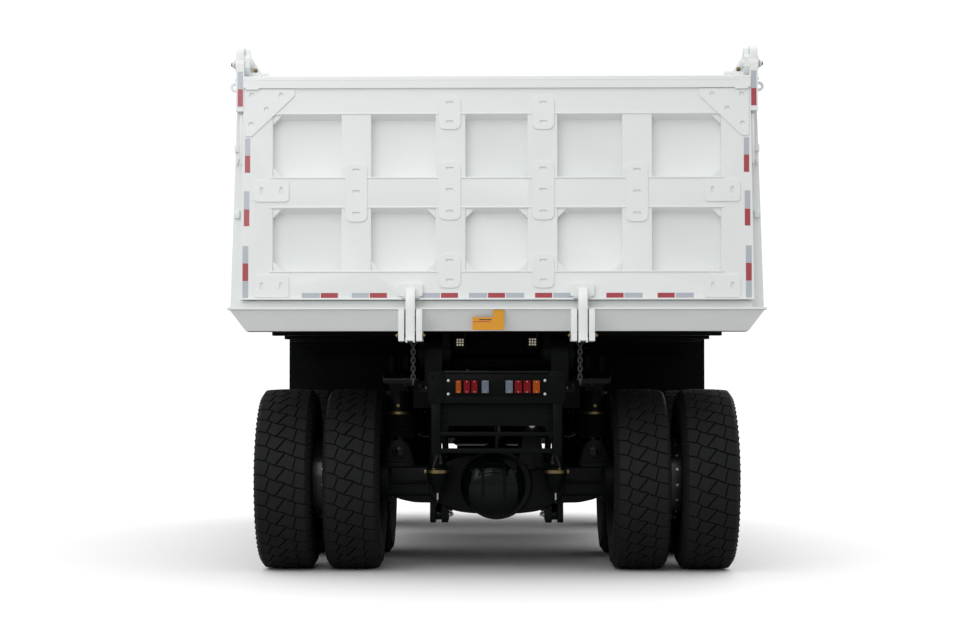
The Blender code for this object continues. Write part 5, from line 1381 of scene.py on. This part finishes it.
def make_undercarriage():
    make_frame()
    make_lamp_guard()
    make_work_lamps()
    make_chains()
    make_axle("rear", 0.0, 1)
    make_axle("middle", 1.8, -1)
    for axle, y in AXLES:
        for hand, side in SIDES:
            make_strut(f"strut_{axle}_{hand}", side * 0.883, y, 1.065, 0.09)
    for hand, side in SIDES:
        make_strut(f"strut_front_{hand}", side * 0.75, FRONT_Y, 1.02, 0.06)
        softened(f"splash_panel_{hand}", f"splash_board_{hand}", BOARD, "chassis", 0.006,
                 lambda form, side=side: form.add(
                     BOARD, block((side * 0.575, side * 0.99), (2.972, 2.985), (1.52, 2.07), 0.003),
                     bolt((side * 1.9, 2.97, 1.42), (0, -1, 0), 0.03)))
        softened(f"knuckle_{hand}", f"steering_knuckle_{hand}", CAST, f"steer_{hand}", 0.010)
    softened("front_axle", "front_axle_beam", CAST, "chassis", 0.012)
    softened("tie_rod", "track_rod_tube", BLACK, "track_rod", 0.004)
    make_drive_shaft("front", (0, 2.4203, AXLE_MID_Z), (0, 4.4997, 1.30))
    make_drive_shaft("rear", (0, 0.6203, AXLE_MID_Z), (0, 1.3997, AXLE_MID_Z))


def make_drive_shaft(place, start, end):
    """A tube with a flange, a yoke and a cross at each end."""
    start, end = Vector(start), Vector(end)
    form = Form(f"drive_shaft_{place}_tube")
    form.add(BLACK, rod(start + Vector((0, 0.13, 0)), end - Vector((0, 0.13, 0)), 0.057, 32))
    for at, way in ((start, 1), (end, -1)):
        def out(reach):
            return at + Vector((0, way * reach, 0))

        form.add(GLOSS, rod(at, out(0.022), 0.088, 32, ease=0.003))
        form.add(CAST, rod(out(0.02), out(0.09), 0.070, 24, 0.045))
        cross_y = at.y + way * 0.10
        form.add(STEEL, rod((-0.072, cross_y, at.z), (0.072, cross_y, at.z), 0.020, 16),
                 rod((0, cross_y, at.z - 0.072), (0, cross_y, at.z + 0.072), 0.020, 16))
        form.add(CAST, rod(out(0.09), out(0.16), 0.050, 24, 0.064))
        for k in range(8):
            a = math.pi * k / 4
            form.add(BRIGHT_ZINC, bolt((0.077 * math.cos(a), at.y + way * 0.022,
                                        at.z + 0.077 * math.sin(a)), (0, way, 0), 0.014))
    form.done("chassis", [f"drive_shaft_{place}"])


# Hoist

HOIST_Y, HOIST_PIN_Z, HOIST_EYE_Z = 5.30, 2.0, 3.80
BARREL_LOW, BARREL_TOP, BARREL_RADIUS = 1.88, 3.47, 0.165
STAGE_RISE = 0.03


def hoist_tube(line, sides=56):
    """A round part of the hoist from (height, radius) points."""
    return turned(line, (0, HOIST_Y, 0), "z", sides)


def half_width(node):
    low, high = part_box(node)
    return (high.x - low.x) / 2


def make_hoist():
    """The telescopic hoist: a black barrel on its trunnion, and bright tubes inside it."""
    form = Form("hoist_outer_tube")
    form.add(BLACK, hoist_tube([
        (BARREL_LOW, 0), (BARREL_LOW, 0.150), (BARREL_LOW + 0.012, BARREL_RADIUS),
        (BARREL_TOP, BARREL_RADIUS), (BARREL_TOP, 0.149), (BARREL_TOP - 0.05, 0.149)]))
    form.add(BLACK, hoist_tube([
        (BARREL_TOP - 0.10, BARREL_RADIUS), (BARREL_TOP - 0.095, 0.176),
        (BARREL_TOP - 0.03, 0.176), (BARREL_TOP - 0.025, BARREL_RADIUS)]))
    for side in (-1, 1):
        form.add(BLACK, *[rod((side * 0.15, HOIST_Y, HOIST_PIN_Z), (side * reach, HOIST_Y, HOIST_PIN_Z),
                              radius, 36, ease=ease)
                          for reach, radius, ease in ((0.1895, 0.08, 0.0), (0.27, 0.05, 0.004))])
    form.add(ZINC, rod((0.12, 5.18, 1.96), (0.16, 5.12, 1.96), 0.022, 16, ease=0.003))
    form.done("barrel", ["hoist_barrel"])
    for stage in (1, 2, 3):
        node = f"hoist_stage_{stage}"
        wide, low = half_width(node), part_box(node)[0].z
        top = BARREL_TOP + STAGE_RISE * stage
        form = Form(f"hoist_tube_{stage}")
        form.add(CHROME, hoist_tube([(low, 0), (low, wide), (top - 0.004, wide), (top, wide - 0.003),
                                     (top, wide - 0.015), (top - 0.08, wide - 0.015)]))
        form.done(f"stage_{stage}", [node])
    stages = 4
    wide = BARREL_RADIUS - stages * (BARREL_RADIUS - half_width("hoist_stage_1"))
    low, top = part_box("hoist_rod")[0].z, BARREL_TOP + STAGE_RISE * stages
    form = Form("hoist_rod_end")
    form.add(CHROME, hoist_tube([(low, 0), (low, wide), (top - 0.004, wide), (top, wide - 0.004),
                                 (top, 0)]),
             rod((0, HOIST_Y, top - 0.01), (0, HOIST_Y, 3.78), 0.05, 36),
             rod((-0.06, HOIST_Y, HOIST_EYE_Z), (0.06, HOIST_Y, HOIST_EYE_Z), 0.069, 40, ease=0.005))
    form.add(BLACK, rod((-0.0595, HOIST_Y, HOIST_EYE_Z), (0.0595, HOIST_Y, HOIST_EYE_Z), 0.036, 28))
    form.done("rod", ["hoist_rod"])


# Front end

def make_front_end():
    make_deck()
    make_bumper()
    make_hood()
    make_machinery()
    make_tanks()


def make_deck():
    """The front deck with its grip studs, kick strips and rail feet, and the right mirror."""
    front, side_x = 8.01, 2.08

    def extra(skin):
        for side in (-1, 1):
            skin.add(BLACK, block((side * 2.105, side * 2.119), (5.57, 8.04), (2.04, 2.075), 0.003))
            for k in range(9):
                skin.add(BLACK, bolt((side * 2.118, 5.80 + 0.22 * k, 2.01), (side, 0, 0), 0.022))
        for x0, y0 in ((1.02, 6.05), (1.30, 6.45), (1.02, 6.85), (1.70, 6.15), (1.75, 6.80)):
            for k in range(7):
                for j in range(6):
                    turn = Matrix.Rotation(math.radians(45 + 90 * ((k + j) % 2)), 4, "Z")
                    at = Matrix.Translation((x0 - 0.12 + 0.05 * k, y0 + 0.05 * j, 2.0437))
                    skin.add(BLACK, moved(block((-0.014, 0.014), (-0.003, 0.003), (-0.001, 0.0015),
                                                0.0, 1), at @ turn))
        for x, y in ((0.92, front), (side_x, front), (side_x, 7.2), (side_x, 6.4), (side_x, 5.62),
                     (-side_x, front), (-1.25, front), (-0.52, front)):
            skin.add(BLACK, block((x - 0.04, x + 0.04), (y - 0.038, y + 0.038), (2.038, 2.052), 0.002))
            for dx in (-0.027, 0.027):
                skin.add(BRIGHT_ZINC, bolt((x + dx, y, 2.052), (0, 0, 1), 0.014))
            skin.add(SEALS, rod((x, y, 2.95), (x, y, 3.05), 0.0225, 20, ease=0.004))

    softened("front_deck", "front_deck_skin", BLACK, "chassis", 0.004, extra)
    form = Form("right_mirror")
    form.add(PLASTIC, block((2.05, 2.225), (8.085, 8.135), (2.96, 3.44), 0.018, 4))
    form.add(MIRROR, block((2.062, 2.213), (8.081, 8.087), (2.98, 3.42), 0.003))
    form.done("chassis")


def make_bumper():
    """The bumper: head lamps, tow hooks, a mesh step, the ladder's treads."""
    def extra(form):
        for x in (-1.02, 1.45):
            form.add(BLACK, block((x - 0.215, x + 0.215), (8.251, 8.262), (1.285, 1.555), 0.004))
            for dx in (-0.10, 0.10):
                form.add(BLACK, rod((x + dx, 8.255, 1.42), (x + dx, 8.300, 1.42), 0.092, 40, 0.096))
                form.add(LED, turned([(8.262, 0.0), (8.266, 0.03), (8.28, 0.06), (8.305, 0.085)],
                                     (x + dx, 0, 1.42), "y", 40))
                form.add(LENS_CLEAR, turned([(8.322, 0), (8.320, 0.04), (8.312, 0.075),
                                             (8.300, 0.086)], (x + dx, 0, 1.42), "y", 40))
            form.add(LENS_AMBER, block((x - 0.20, x - 0.12), (8.262, 8.320), (1.50, 1.545), 0.006))
        for x in (-0.62, 0.62):
            form.add(BLACK, block((x - 0.07, x + 0.07), (8.3295, 8.336), (1.06, 1.22), 0.003))
            form.add(BLACK, hose([(x, 8.33, 1.19), (x, 8.40, 1.18), (x, 8.42, 1.13), (x, 8.39, 1.09),
                                  (x, 8.33, 1.09)], 0.018, 12, 6))
        for k in range(9):
            x = -0.36 + 0.09 * k
            form.add(BLACK, block((x - 0.012, x + 0.012), (8.3295, 8.333), (1.34, 1.62), 0.002))
        for z in (1.33, 1.63):
            form.add(BLACK, block((-0.38, 0.38), (8.3295, 8.334), (z - 0.012, z + 0.012), 0.002))
        for k in range(8):
            form.add(BRIGHT_ZINC, bolt((-1.94 + 0.554 * k, 8.3295, 1.66), (0, 1, 0), 0.022))
        for step in range(5):
            z = 0.55 + 0.33 * step
            for k in range(9):
                x = -1.94 + 0.055 * k
                form.add(BLACK, block((x, x + 0.02), (8.345, 8.465), (z, z + 0.006), 0.001, 1))
        for x in (-1.98, -1.46):
            form.add(BLACK, hose([(x, 8.46, 1.90), (x, 8.47, 2.02), (x, 8.44, 2.10), (x, 8.30, 2.12),
                                  (x, 8.05, 2.10)], 0.017, 10, 5))

    # painted shade: the white bumper's back and its downward faces are near-black for the shadow under
    # the truck
    softened("front_bumper", "front_bumper_skin", WHITE, "chassis", 0.010, extra, second=(
        UNDER_BLACK_AND_SHADE, lambda at, way: at.y < 8.10 or (at.y < 8.25 and way.z < -0.4)))
    # A skid plate under the engine, and at its front an upright near-black sheet that is painted shade.
    form = Form("engine_skid_plate_and_shade_sheet")
    form.add(UNDER_BLACK_AND_SHADE, prism("x", rounded([(5.6, 1.00), (7.6, 0.93), (7.95, 1.06), (7.95, 1.10),
                                        (7.6, 0.97), (5.6, 1.04)], 0.01, 2), -0.52, 0.52, 0.003))
    for side in (-1, 1):
        for y in (5.8, 6.6, 7.5):
            form.add(UNDER_BLACK_AND_SHADE, block((side * 0.47, side * 0.50), (y - 0.04, y + 0.04), (0.99, 1.255),
                                  0.004))
    # painted shade: this sheet closes the view through under the engine, where the shadow is deep
    form.add(UNDER_BLACK_AND_SHADE, block((-0.52, 0.52), (7.90, 7.94), (0.84, 1.70), 0.006))
    form.done("chassis")


def make_hood():
    """The bonnet with its grille, side louvres, catches, grab rails and hinges."""
    def extra(form):
        for k in range(11):
            z = 1.93 + 0.07 * k
            slat = [(7.955, z), (8.02, z - 0.022), (8.024, z - 0.014), (7.959, z + 0.008)]
            form.add(BLACK, prism("x", slat, -0.29, 0.69, 0.001))
        for x in (-0.30, 0.03, 0.37, 0.70):
            form.add(BLACK, block((x - 0.009, x + 0.009), (8.005, 8.0295), (1.88, 2.70), 0.003))
        for z in (1.872, 2.708):
            form.add(BLACK, block((-0.315, 0.715), (8.005, 8.034), (z - 0.014, z + 0.014), 0.004))
        for side, x in ((-1, -0.40), (1, 0.80)):
            for k in range(9):
                z = 2.35 + 0.05 * k
                form.add(BLACK, block((x - 0.002, x + 0.002), (6.25, 7.05), (z, z + 0.022), 0.001, 1))
            for y in (6.10, 7.30):
                form.add(BLACK, block((x, x + side * 0.014), (y - 0.03, y + 0.03), (2.16, 2.30),
                                      0.004))
                form.add(BRIGHT_ZINC, rod((x + side * 0.014, y, 2.23), (x + side * 0.024, y, 2.23),
                                          0.012, 16))
            form.add(BLACK, hose([(x, 7.62, 2.55), (x + side * 0.035, 7.64, 2.55),
                                  (x + side * 0.035, 7.88, 2.55), (x, 7.90, 2.55)], 0.009, 10, 1))
        for y in (6.20, 7.00):
            form.add(BLACK, block((0.08, 0.32), (y - 0.02, y + 0.02), (2.979, 2.996), 0.004))
        form.add(SEALS, block((-0.395, 0.795), (7.45, 7.458), (2.978, 2.983), 0.001))

    softened("engine_hood", "engine_hood_skin", WHITE, "chassis", 0.014, extra)


def make_machinery():
    softened("radiator", "radiator_core", CAST, "chassis", 0.004, add_radiator_fins)
    softened("engine", "engine_block", CAST, "chassis", 0.012, add_engine_parts)
    make_air_cleaner()
    make_exhaust()


def band(low, inner, outer, height, centre, axis="z", sides=48):
    """A flat strap round a can or a pipe."""
    return turned([(low, inner), (low, outer), (low + height, outer), (low + height, inner)],
                  centre, axis, sides, closed=True)


def add_radiator_fins(form):
    for k in range(34):
        z = 1.76 + 0.032 * k
        form.add(CAST, block((-0.31, 0.71), (7.838, 7.846), (z, z + 0.006), 0.0, 1))
    form.add(BLACK, block((-0.34, 0.74), (7.70, 7.845), (2.80, 2.8595), 0.006))


def add_engine_parts(form):
    """Rocker covers, exhaust ports, manifolds, filters, the fan and the gearbox."""
    manifolds = {-1: rod((-0.36, 6.08, 2.24), (-0.36, 7.12, 2.24), 0.030, 24, ease=0.01),
                 1: rod((0.42, 6.08, 2.16), (0.42, 7.12, 2.16), 0.042, 24, ease=0.01)}
    for side in (-1, 1):
        for k in range(6):
            y = 6.12 + 0.19 * k
            form.add(CAST, block((side * 0.10, side * 0.31), (y - 0.075, y + 0.075), (2.34, 2.43),
                                 0.014, 3))
            form.add(EXHAUST, rod((side * 0.34, y, 2.12), (side * 0.42, y, 2.16), 0.033, 20))
        form.add(EXHAUST, manifolds[side])
        for k in range(3):
            y = 6.3 + 0.3 * k
            form.add(CAST, rod((side * 0.34, y, 1.60), (side * 0.37, y, 1.60), 0.055, 24, ease=0.004))
    form.add(GLOSS, rod((0, 7.30, 1.45), (0, 7.36, 1.45), 0.13, 40, ease=0.006))
    hub = Matrix.Translation((0.15, 7.50, 2.15))
    form.add(CAST, *[moved(block((-0.03, 0.03), (-0.012, 0.012), (0.04, 0.30), 0.004),
                           hub @ Matrix.Rotation(math.pi * k / 4, 4, "Y")) for k in range(8)])
    form.add(GLOSS, rod((0.15, 7.30, 2.15), (0.15, 7.53, 2.15), 0.05, 28))
    gearbox = (0, 0, 1.40)
    form.add(CAST, turned([(4.50, 0), (4.50, 0.10), (4.54, 0.10), (4.60, 0.17), (4.66, 0.19),
                           (5.20, 0.21), (5.45, 0.235), (5.50, 0.25), (5.50, 0)],
                          gearbox, "y", 40))
    for k in range(5):
        form.add(CAST, band(4.72 + 0.15 * k, 0.20, 0.222, 0.02, gearbox, "y", 40))


def make_air_cleaner():
    """A ribbed can on the deck with its cap, straps and the duct to the bonnet."""
    form = Form("air_cleaner_can")
    centre = (1.45, 7.35, 0)
    form.add(PLASTIC, turned([(2.0403, 0), (2.0403, 0.17), (2.06, 0.19), (2.10, 0.228), (2.50, 0.228),
                              (2.56, 0.222), (2.61, 0.19), (2.62, 0.13), (2.70, 0.12)],
                             centre, "z", 48))
    form.add(PLASTIC, turned([(2.66, 0.118), (2.68, 0.129), (2.84, 0.129), (2.857, 0.12), (2.86, 0)],
                             centre, "z", 48))
    for z in (2.20, 2.44):
        form.add(STEEL, band(z, 0.227, 0.2302, 0.02, centre))
    form.add(SEALS, hose([(x, 7.35, 2.42) for x in (1.25, 1.10, 0.95, 0.8003)], 0.086, 24, 4))
    for x in (1.18, 0.86):
        form.add(STEEL, band(x, 0.086, 0.090, 0.012, (0, 7.35, 2.42), "x", 40))
    form.done("chassis", ["air_cleaner"])


def make_exhaust():
    """The silencer on the deck and its pipe, turned outwards at the top."""
    form = Form("exhaust_stack")
    centre = (1.30, 5.86, 0)
    form.add(EXHAUST, turned([(2.0403, 0), (2.0403, 0.07), (2.185, 0.07), (2.19, 0.14), (2.20, 0.15),
                              (3.13, 0.15), (3.145, 0.14), (3.15, 0.06)], centre, "z", 48))
    form.add(EXHAUST, hose([(x, 5.86, z) for x, z in (
        (1.30, 3.14), (1.30, 3.50), (1.305, 3.60), (1.34, 3.67), (1.478, 3.797))], 0.059, 28, 4))
    for z in (2.42, 2.94):
        form.add(BLACK, band(z, 0.149, 0.1504, 0.035, centre))
    form.done("chassis", ["exhaust"])


def make_tanks():
    for name, side, top in (("fuel_tank", 1, 1.58), ("hydraulic_tank", -1, 1.72)):
        def straps(form):
            for y in (3.62, 4.05, 4.48):
                form.add(STEEL, block((side * 1.619, side * 1.6235), (y - 0.03, y + 0.03),
                                      (0.86, top - 0.02), 0.001))
                if y != 4.05:
                    form.add(STEEL, block((side * 0.70, side * 1.60), (y - 0.03, y + 0.03),
                                          (top - 0.001, top + 0.003), 0.001))
                form.add(BRIGHT_ZINC, bolt((side * 1.6235, y, top - 0.10), (side, 0, 0), 0.020))
            form.add(BLACK, rod((side * 1.40, 3.42, top), (side * 1.40, 3.42, top + 0.035), 0.06, 32,
                                ease=0.008))
            form.add(ZINC, bolt((side * 1.30, 4.70, 0.84), (0, 0, -1), 0.03))
            form.add(GLASS, rod((side * 1.62, 4.66, 1.30), (side * 1.626, 4.66, 1.30), 0.035, 28))

        softened(name, f"{name}_shell", BLACK, "chassis", 0.030, straps)


# Cab

LAP, SEAL_WIDE = 0.004, 0.022


def frame_of(xs, zs, wide):
    """The four sides of a window's rubber frame as outlines in x and z."""
    (x0, x1), (z0, z1) = xs, zs
    return ((x0 - wide, x1 + wide, z0 - wide, z0 + LAP), (x0 - wide, x1 + wide, z1 - LAP, z1 + wide),
            (x0 - wide, x0 + LAP, z0, z1), (x1 - LAP, x1 + wide, z0, z1))


def make_cab():
    softened("cab_shell", "cab_shell_pressed", WHITE, "chassis", 0.022, add_cab_fittings)
    softened("cab_door", "cab_door_pressed", WHITE, "door", 0.006, add_door_fittings)
    for node, body in (("door_glass", "door"), ("windscreen", "chassis"),
                       ("cab_side_glass", "chassis"), ("cab_rear_glass", "chassis")):
        softened(node, f"{node}_pane", GLASS, body, 0.002)
    low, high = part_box("driver_seat")
    seat_x, floor_z = (low.x + high.x) / 2, low.z
    make_seat(seat_x, floor_z)
    make_dashboard(seat_x)
    make_steering_wheel(seat_x, floor_z)


def add_cab_fittings(form):
    for x0, x1, z0, z1 in frame_of((-1.86, -0.58), (3.12, 3.74), SEAL_WIDE):
        form.add(SEALS, block((x0, x1), (5.774, 5.786), (z0, z1), 0.003))
    for y0, y1, z0, z1 in frame_of((6.03, 7.38), (3.08, 3.78), SEAL_WIDE):
        form.add(SEALS, block((-0.466, -0.455), (y0, y1), (z0, z1), 0.003))
    add_windscreen_fittings(form)
    add_roof_lamps(form)
    for z in (2.36, 2.66):
        form.add(WHITE, block((-1.982, -1.979), (5.86, 6.32), (z, z + 0.02), 0.001, 1))
    form.add(BLACK, hose([(-1.98, 6.36, 2.30), (-2.03, 6.35, 2.32), (-2.03, 6.35, 3.10),
                          (-1.98, 6.36, 3.12)], 0.014, 12, 1))
    form.add(SEALS, block((-1.96, -0.48), (5.777, 5.781), (2.60, 2.61), 0.001))
    form.add(PLASTIC, block((-2.222, -2.03), (7.738, 7.802), (3.048, 3.602), 0.018, 4))
    form.add(MIRROR, block((-2.208, -2.045), (7.733, 7.739), (3.07, 3.58), 0.003))


def add_windscreen_fittings(form):
    """The leaning windscreen's rubber frame and its two wipers."""
    slope = 0.16 / (3.88 - 3.02)
    lean = Matrix.Rotation(math.atan(slope), 4, "X")
    for x0, x1, z0, z1 in frame_of((-1.86, -0.58), (-0.352, 0.352), SEAL_WIDE):
        bar = block((x0, x1), (-0.006, 0.006), (z0, z1), 0.003)
        form.add(SEALS, moved(bar, Matrix.Translation((0, 7.72 - slope * 0.41, 3.43)) @ lean))
    for x in (-1.62, -0.92):
        form.add(PLASTIC, hose([(x, 7.725, 3.04), (x, 7.745, 3.06), (x + 0.30, 7.715, 3.30),
                                (x + 0.36, 7.69, 3.42)], 0.007, 8, 4))
        form.add(SEALS, moved(block((-0.006, 0.006), (-0.006, 0.006), (-0.24, 0.24), 0.002),
                              Matrix.Translation((x + 0.36, 7.682, 3.44)) @ lean))
        form.add(PLASTIC, rod((x, 7.72, 3.04), (x, 7.755, 3.04), 0.014, 16))


def add_roof_lamps(form):
    """The sun visor, two roof lamps and the beacon on its foot."""
    form.add(PLASTIC, block((-1.92, -0.52), (7.55, 7.735), (3.885, 3.925), 0.014, 3))
    for x in (-1.78, -0.66):
        form.add(PLASTIC, block((x - 0.05, x + 0.05), (7.47, 7.53), (3.92, 4.01), 0.012, 3))
        form.add(LENS_CLEAR, block((x - 0.042, x + 0.042), (7.528, 7.536), (3.93, 4.0), 0.003))
    form.add(PLASTIC, rod((-1.22, 6.10, 4.00), (-1.22, 6.10, 4.03), 0.07, 32, ease=0.005))
    form.add(LENS_AMBER, turned([(4.03, 0), (4.03, 0.062), (4.10, 0.055), (4.125, 0.035),
                                 (4.13, 0)], (-1.22, 6.10, 0), "z", 36))


def add_door_fittings(form):
    """The door's window frame, handle, lock, inner lining and arm rest."""
    low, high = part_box("cab_door")
    back, front = low.y - AXLE_LINE, high.y - AXLE_LINE - 0.006
    for y0, y1, z0, z1 in frame_of((back + 0.10, front - 0.10), (3.07, 3.765), 0.018):
        form.add(SEALS, block((-1.987, -1.974), (y0, y1), (z0, z1), 0.003))
    form.add(BLACK, block((-1.992, -1.979), (back + 0.07, back + 0.20), (2.86, 2.92), 0.006, 3))
    form.add(BLACK, hose([(x, back + y, 2.90) for x, y in (
        (-1.985, 0.09), (-2.012, 0.10), (-2.012, 0.20), (-1.985, 0.21))], 0.007, 10, 1))
    form.add(CHROME, rod((-1.985, back + 0.12, 2.80), (-1.978, back + 0.12, 2.80), 0.014, 20))
    form.add(PLASTIC, block((-1.921, -1.912), (back + 0.05, front - 0.05), (2.16, 2.98), 0.004))
    form.add(PLASTIC, block((-1.914, -1.86), (back + 0.16, front - 0.20), (2.70, 2.75), 0.012, 3))


def make_seat(x, base):
    """The driver's seat: a pedestal with a bellows, and padded cushions with piping."""
    form = Form("seat_pedestal")
    form.add(PLASTIC, block((x - 0.19, x + 0.19), (6.21, 6.61), (base, base + 0.10), 0.02, 3))
    form.add(SEALS, *[block((x - 0.17 + 0.004 * (k % 2), x + 0.17 - 0.004 * (k % 2)), (6.24, 6.58),
                            (base + 0.10 + 0.028 * k, base + 0.127 + 0.028 * k), 0.008, 2)
                      for k in range(8)])
    form.add(PLASTIC, block((x - 0.20, x + 0.20), (6.20, 6.62), (base + 0.32, base + 0.36), 0.01, 3))
    form.done("chassis")
    form = Form("seat_cushions")
    form.add(CLOTH, block((x - 0.268, x + 0.268), (6.19, 6.715), (base + 0.355, base + 0.497), 0.05, 5))
    back = [(6.085, base + 0.45), (6.235, base + 0.45), (6.145, base + 1.175), (6.025, base + 1.175)]
    form.add(CLOTH, prism("x", back, x - 0.258, x + 0.258, 0.045))
    form.add(CLOTH, *[hose([(x + dx, 6.30, base + 0.488), (x + dx, 6.50, base + 0.499),
                            (x + dx, 6.66, base + 0.494)], 0.006, 8, 4) for dx in (-0.12, 0.12)])
    seat = form.done("chassis", ["driver_seat"])


def make_dashboard(x):
    def gauges(form):
        for dx, size in ((-0.17, 0.032), (-0.06, 0.045), (0.06, 0.045), (0.17, 0.032)):
            at = Matrix.Translation((x + dx, 7.36, 2.998)) @ Matrix.Rotation(math.radians(-20), 4, "X")
            form.add(BLACK, moved(rod((0, 0, -0.01), (0, 0, 0.006), size + 0.006, 28), at))
            form.add(GLASS, moved(rod((0, 0, 0.006), (0, 0, 0.008), size, 28), at))
        for k in range(6):
            form.add(SEALS, block((x + 0.34 + 0.05 * k, x + 0.375 + 0.05 * k), (7.32, 7.35),
                                  (2.985, 3.003), 0.003))
        form.add(PLASTIC, block((-0.66, -0.62), (6.90, 7.20), (2.2, 2.24), 0.004))

    softened("dashboard", "dashboard_moulding", PLASTIC, "chassis", 0.014, gauges)


def make_steering_wheel(x, base):
    """A four-spoke wheel on its column, leaning towards the driver."""
    hub, foot = Vector((x, 7.0997, base + 0.86)), Vector((x, 7.3597, base + 0.02))
    tilt = Vector((0, -0.50, 0.86)).normalized()
    turn = Vector((0, 0, 1)).rotation_difference(tilt).to_matrix().to_4x4()
    place = Matrix.Translation(hub) @ turn
    form = Form("steering_wheel_rim")
    form.add(PLASTIC, moved(spun_ring((0, 0, 0), "z", 0.2115, 0.0125, 56, 12), place))
    for degrees in (35, 145, 215, 325):
        a = math.radians(degrees)
        form.add(PLASTIC, moved(rod((0, 0, -0.02), (0.208 * math.cos(a), 0.208 * math.sin(a), 0),
                                    0.011, 12), place))
    form.add(PLASTIC, moved(rod((0, 0, -0.09), (0, 0, 0.018), 0.048, 32, ease=0.008), place))
    form.add(PLASTIC, rod(hub, foot, 0.028, 24),
             block((x - 0.06, x + 0.06), (7.30, 7.42), (base, base + 0.04), 0.008))
    form.done("chassis", ["steering_wheel"])


make_studio()
make_tyres()
make_wheels()
make_tailgate()
make_gate_lips()
make_body()
make_undercarriage()
make_hoist()
make_front_end()
make_cab()
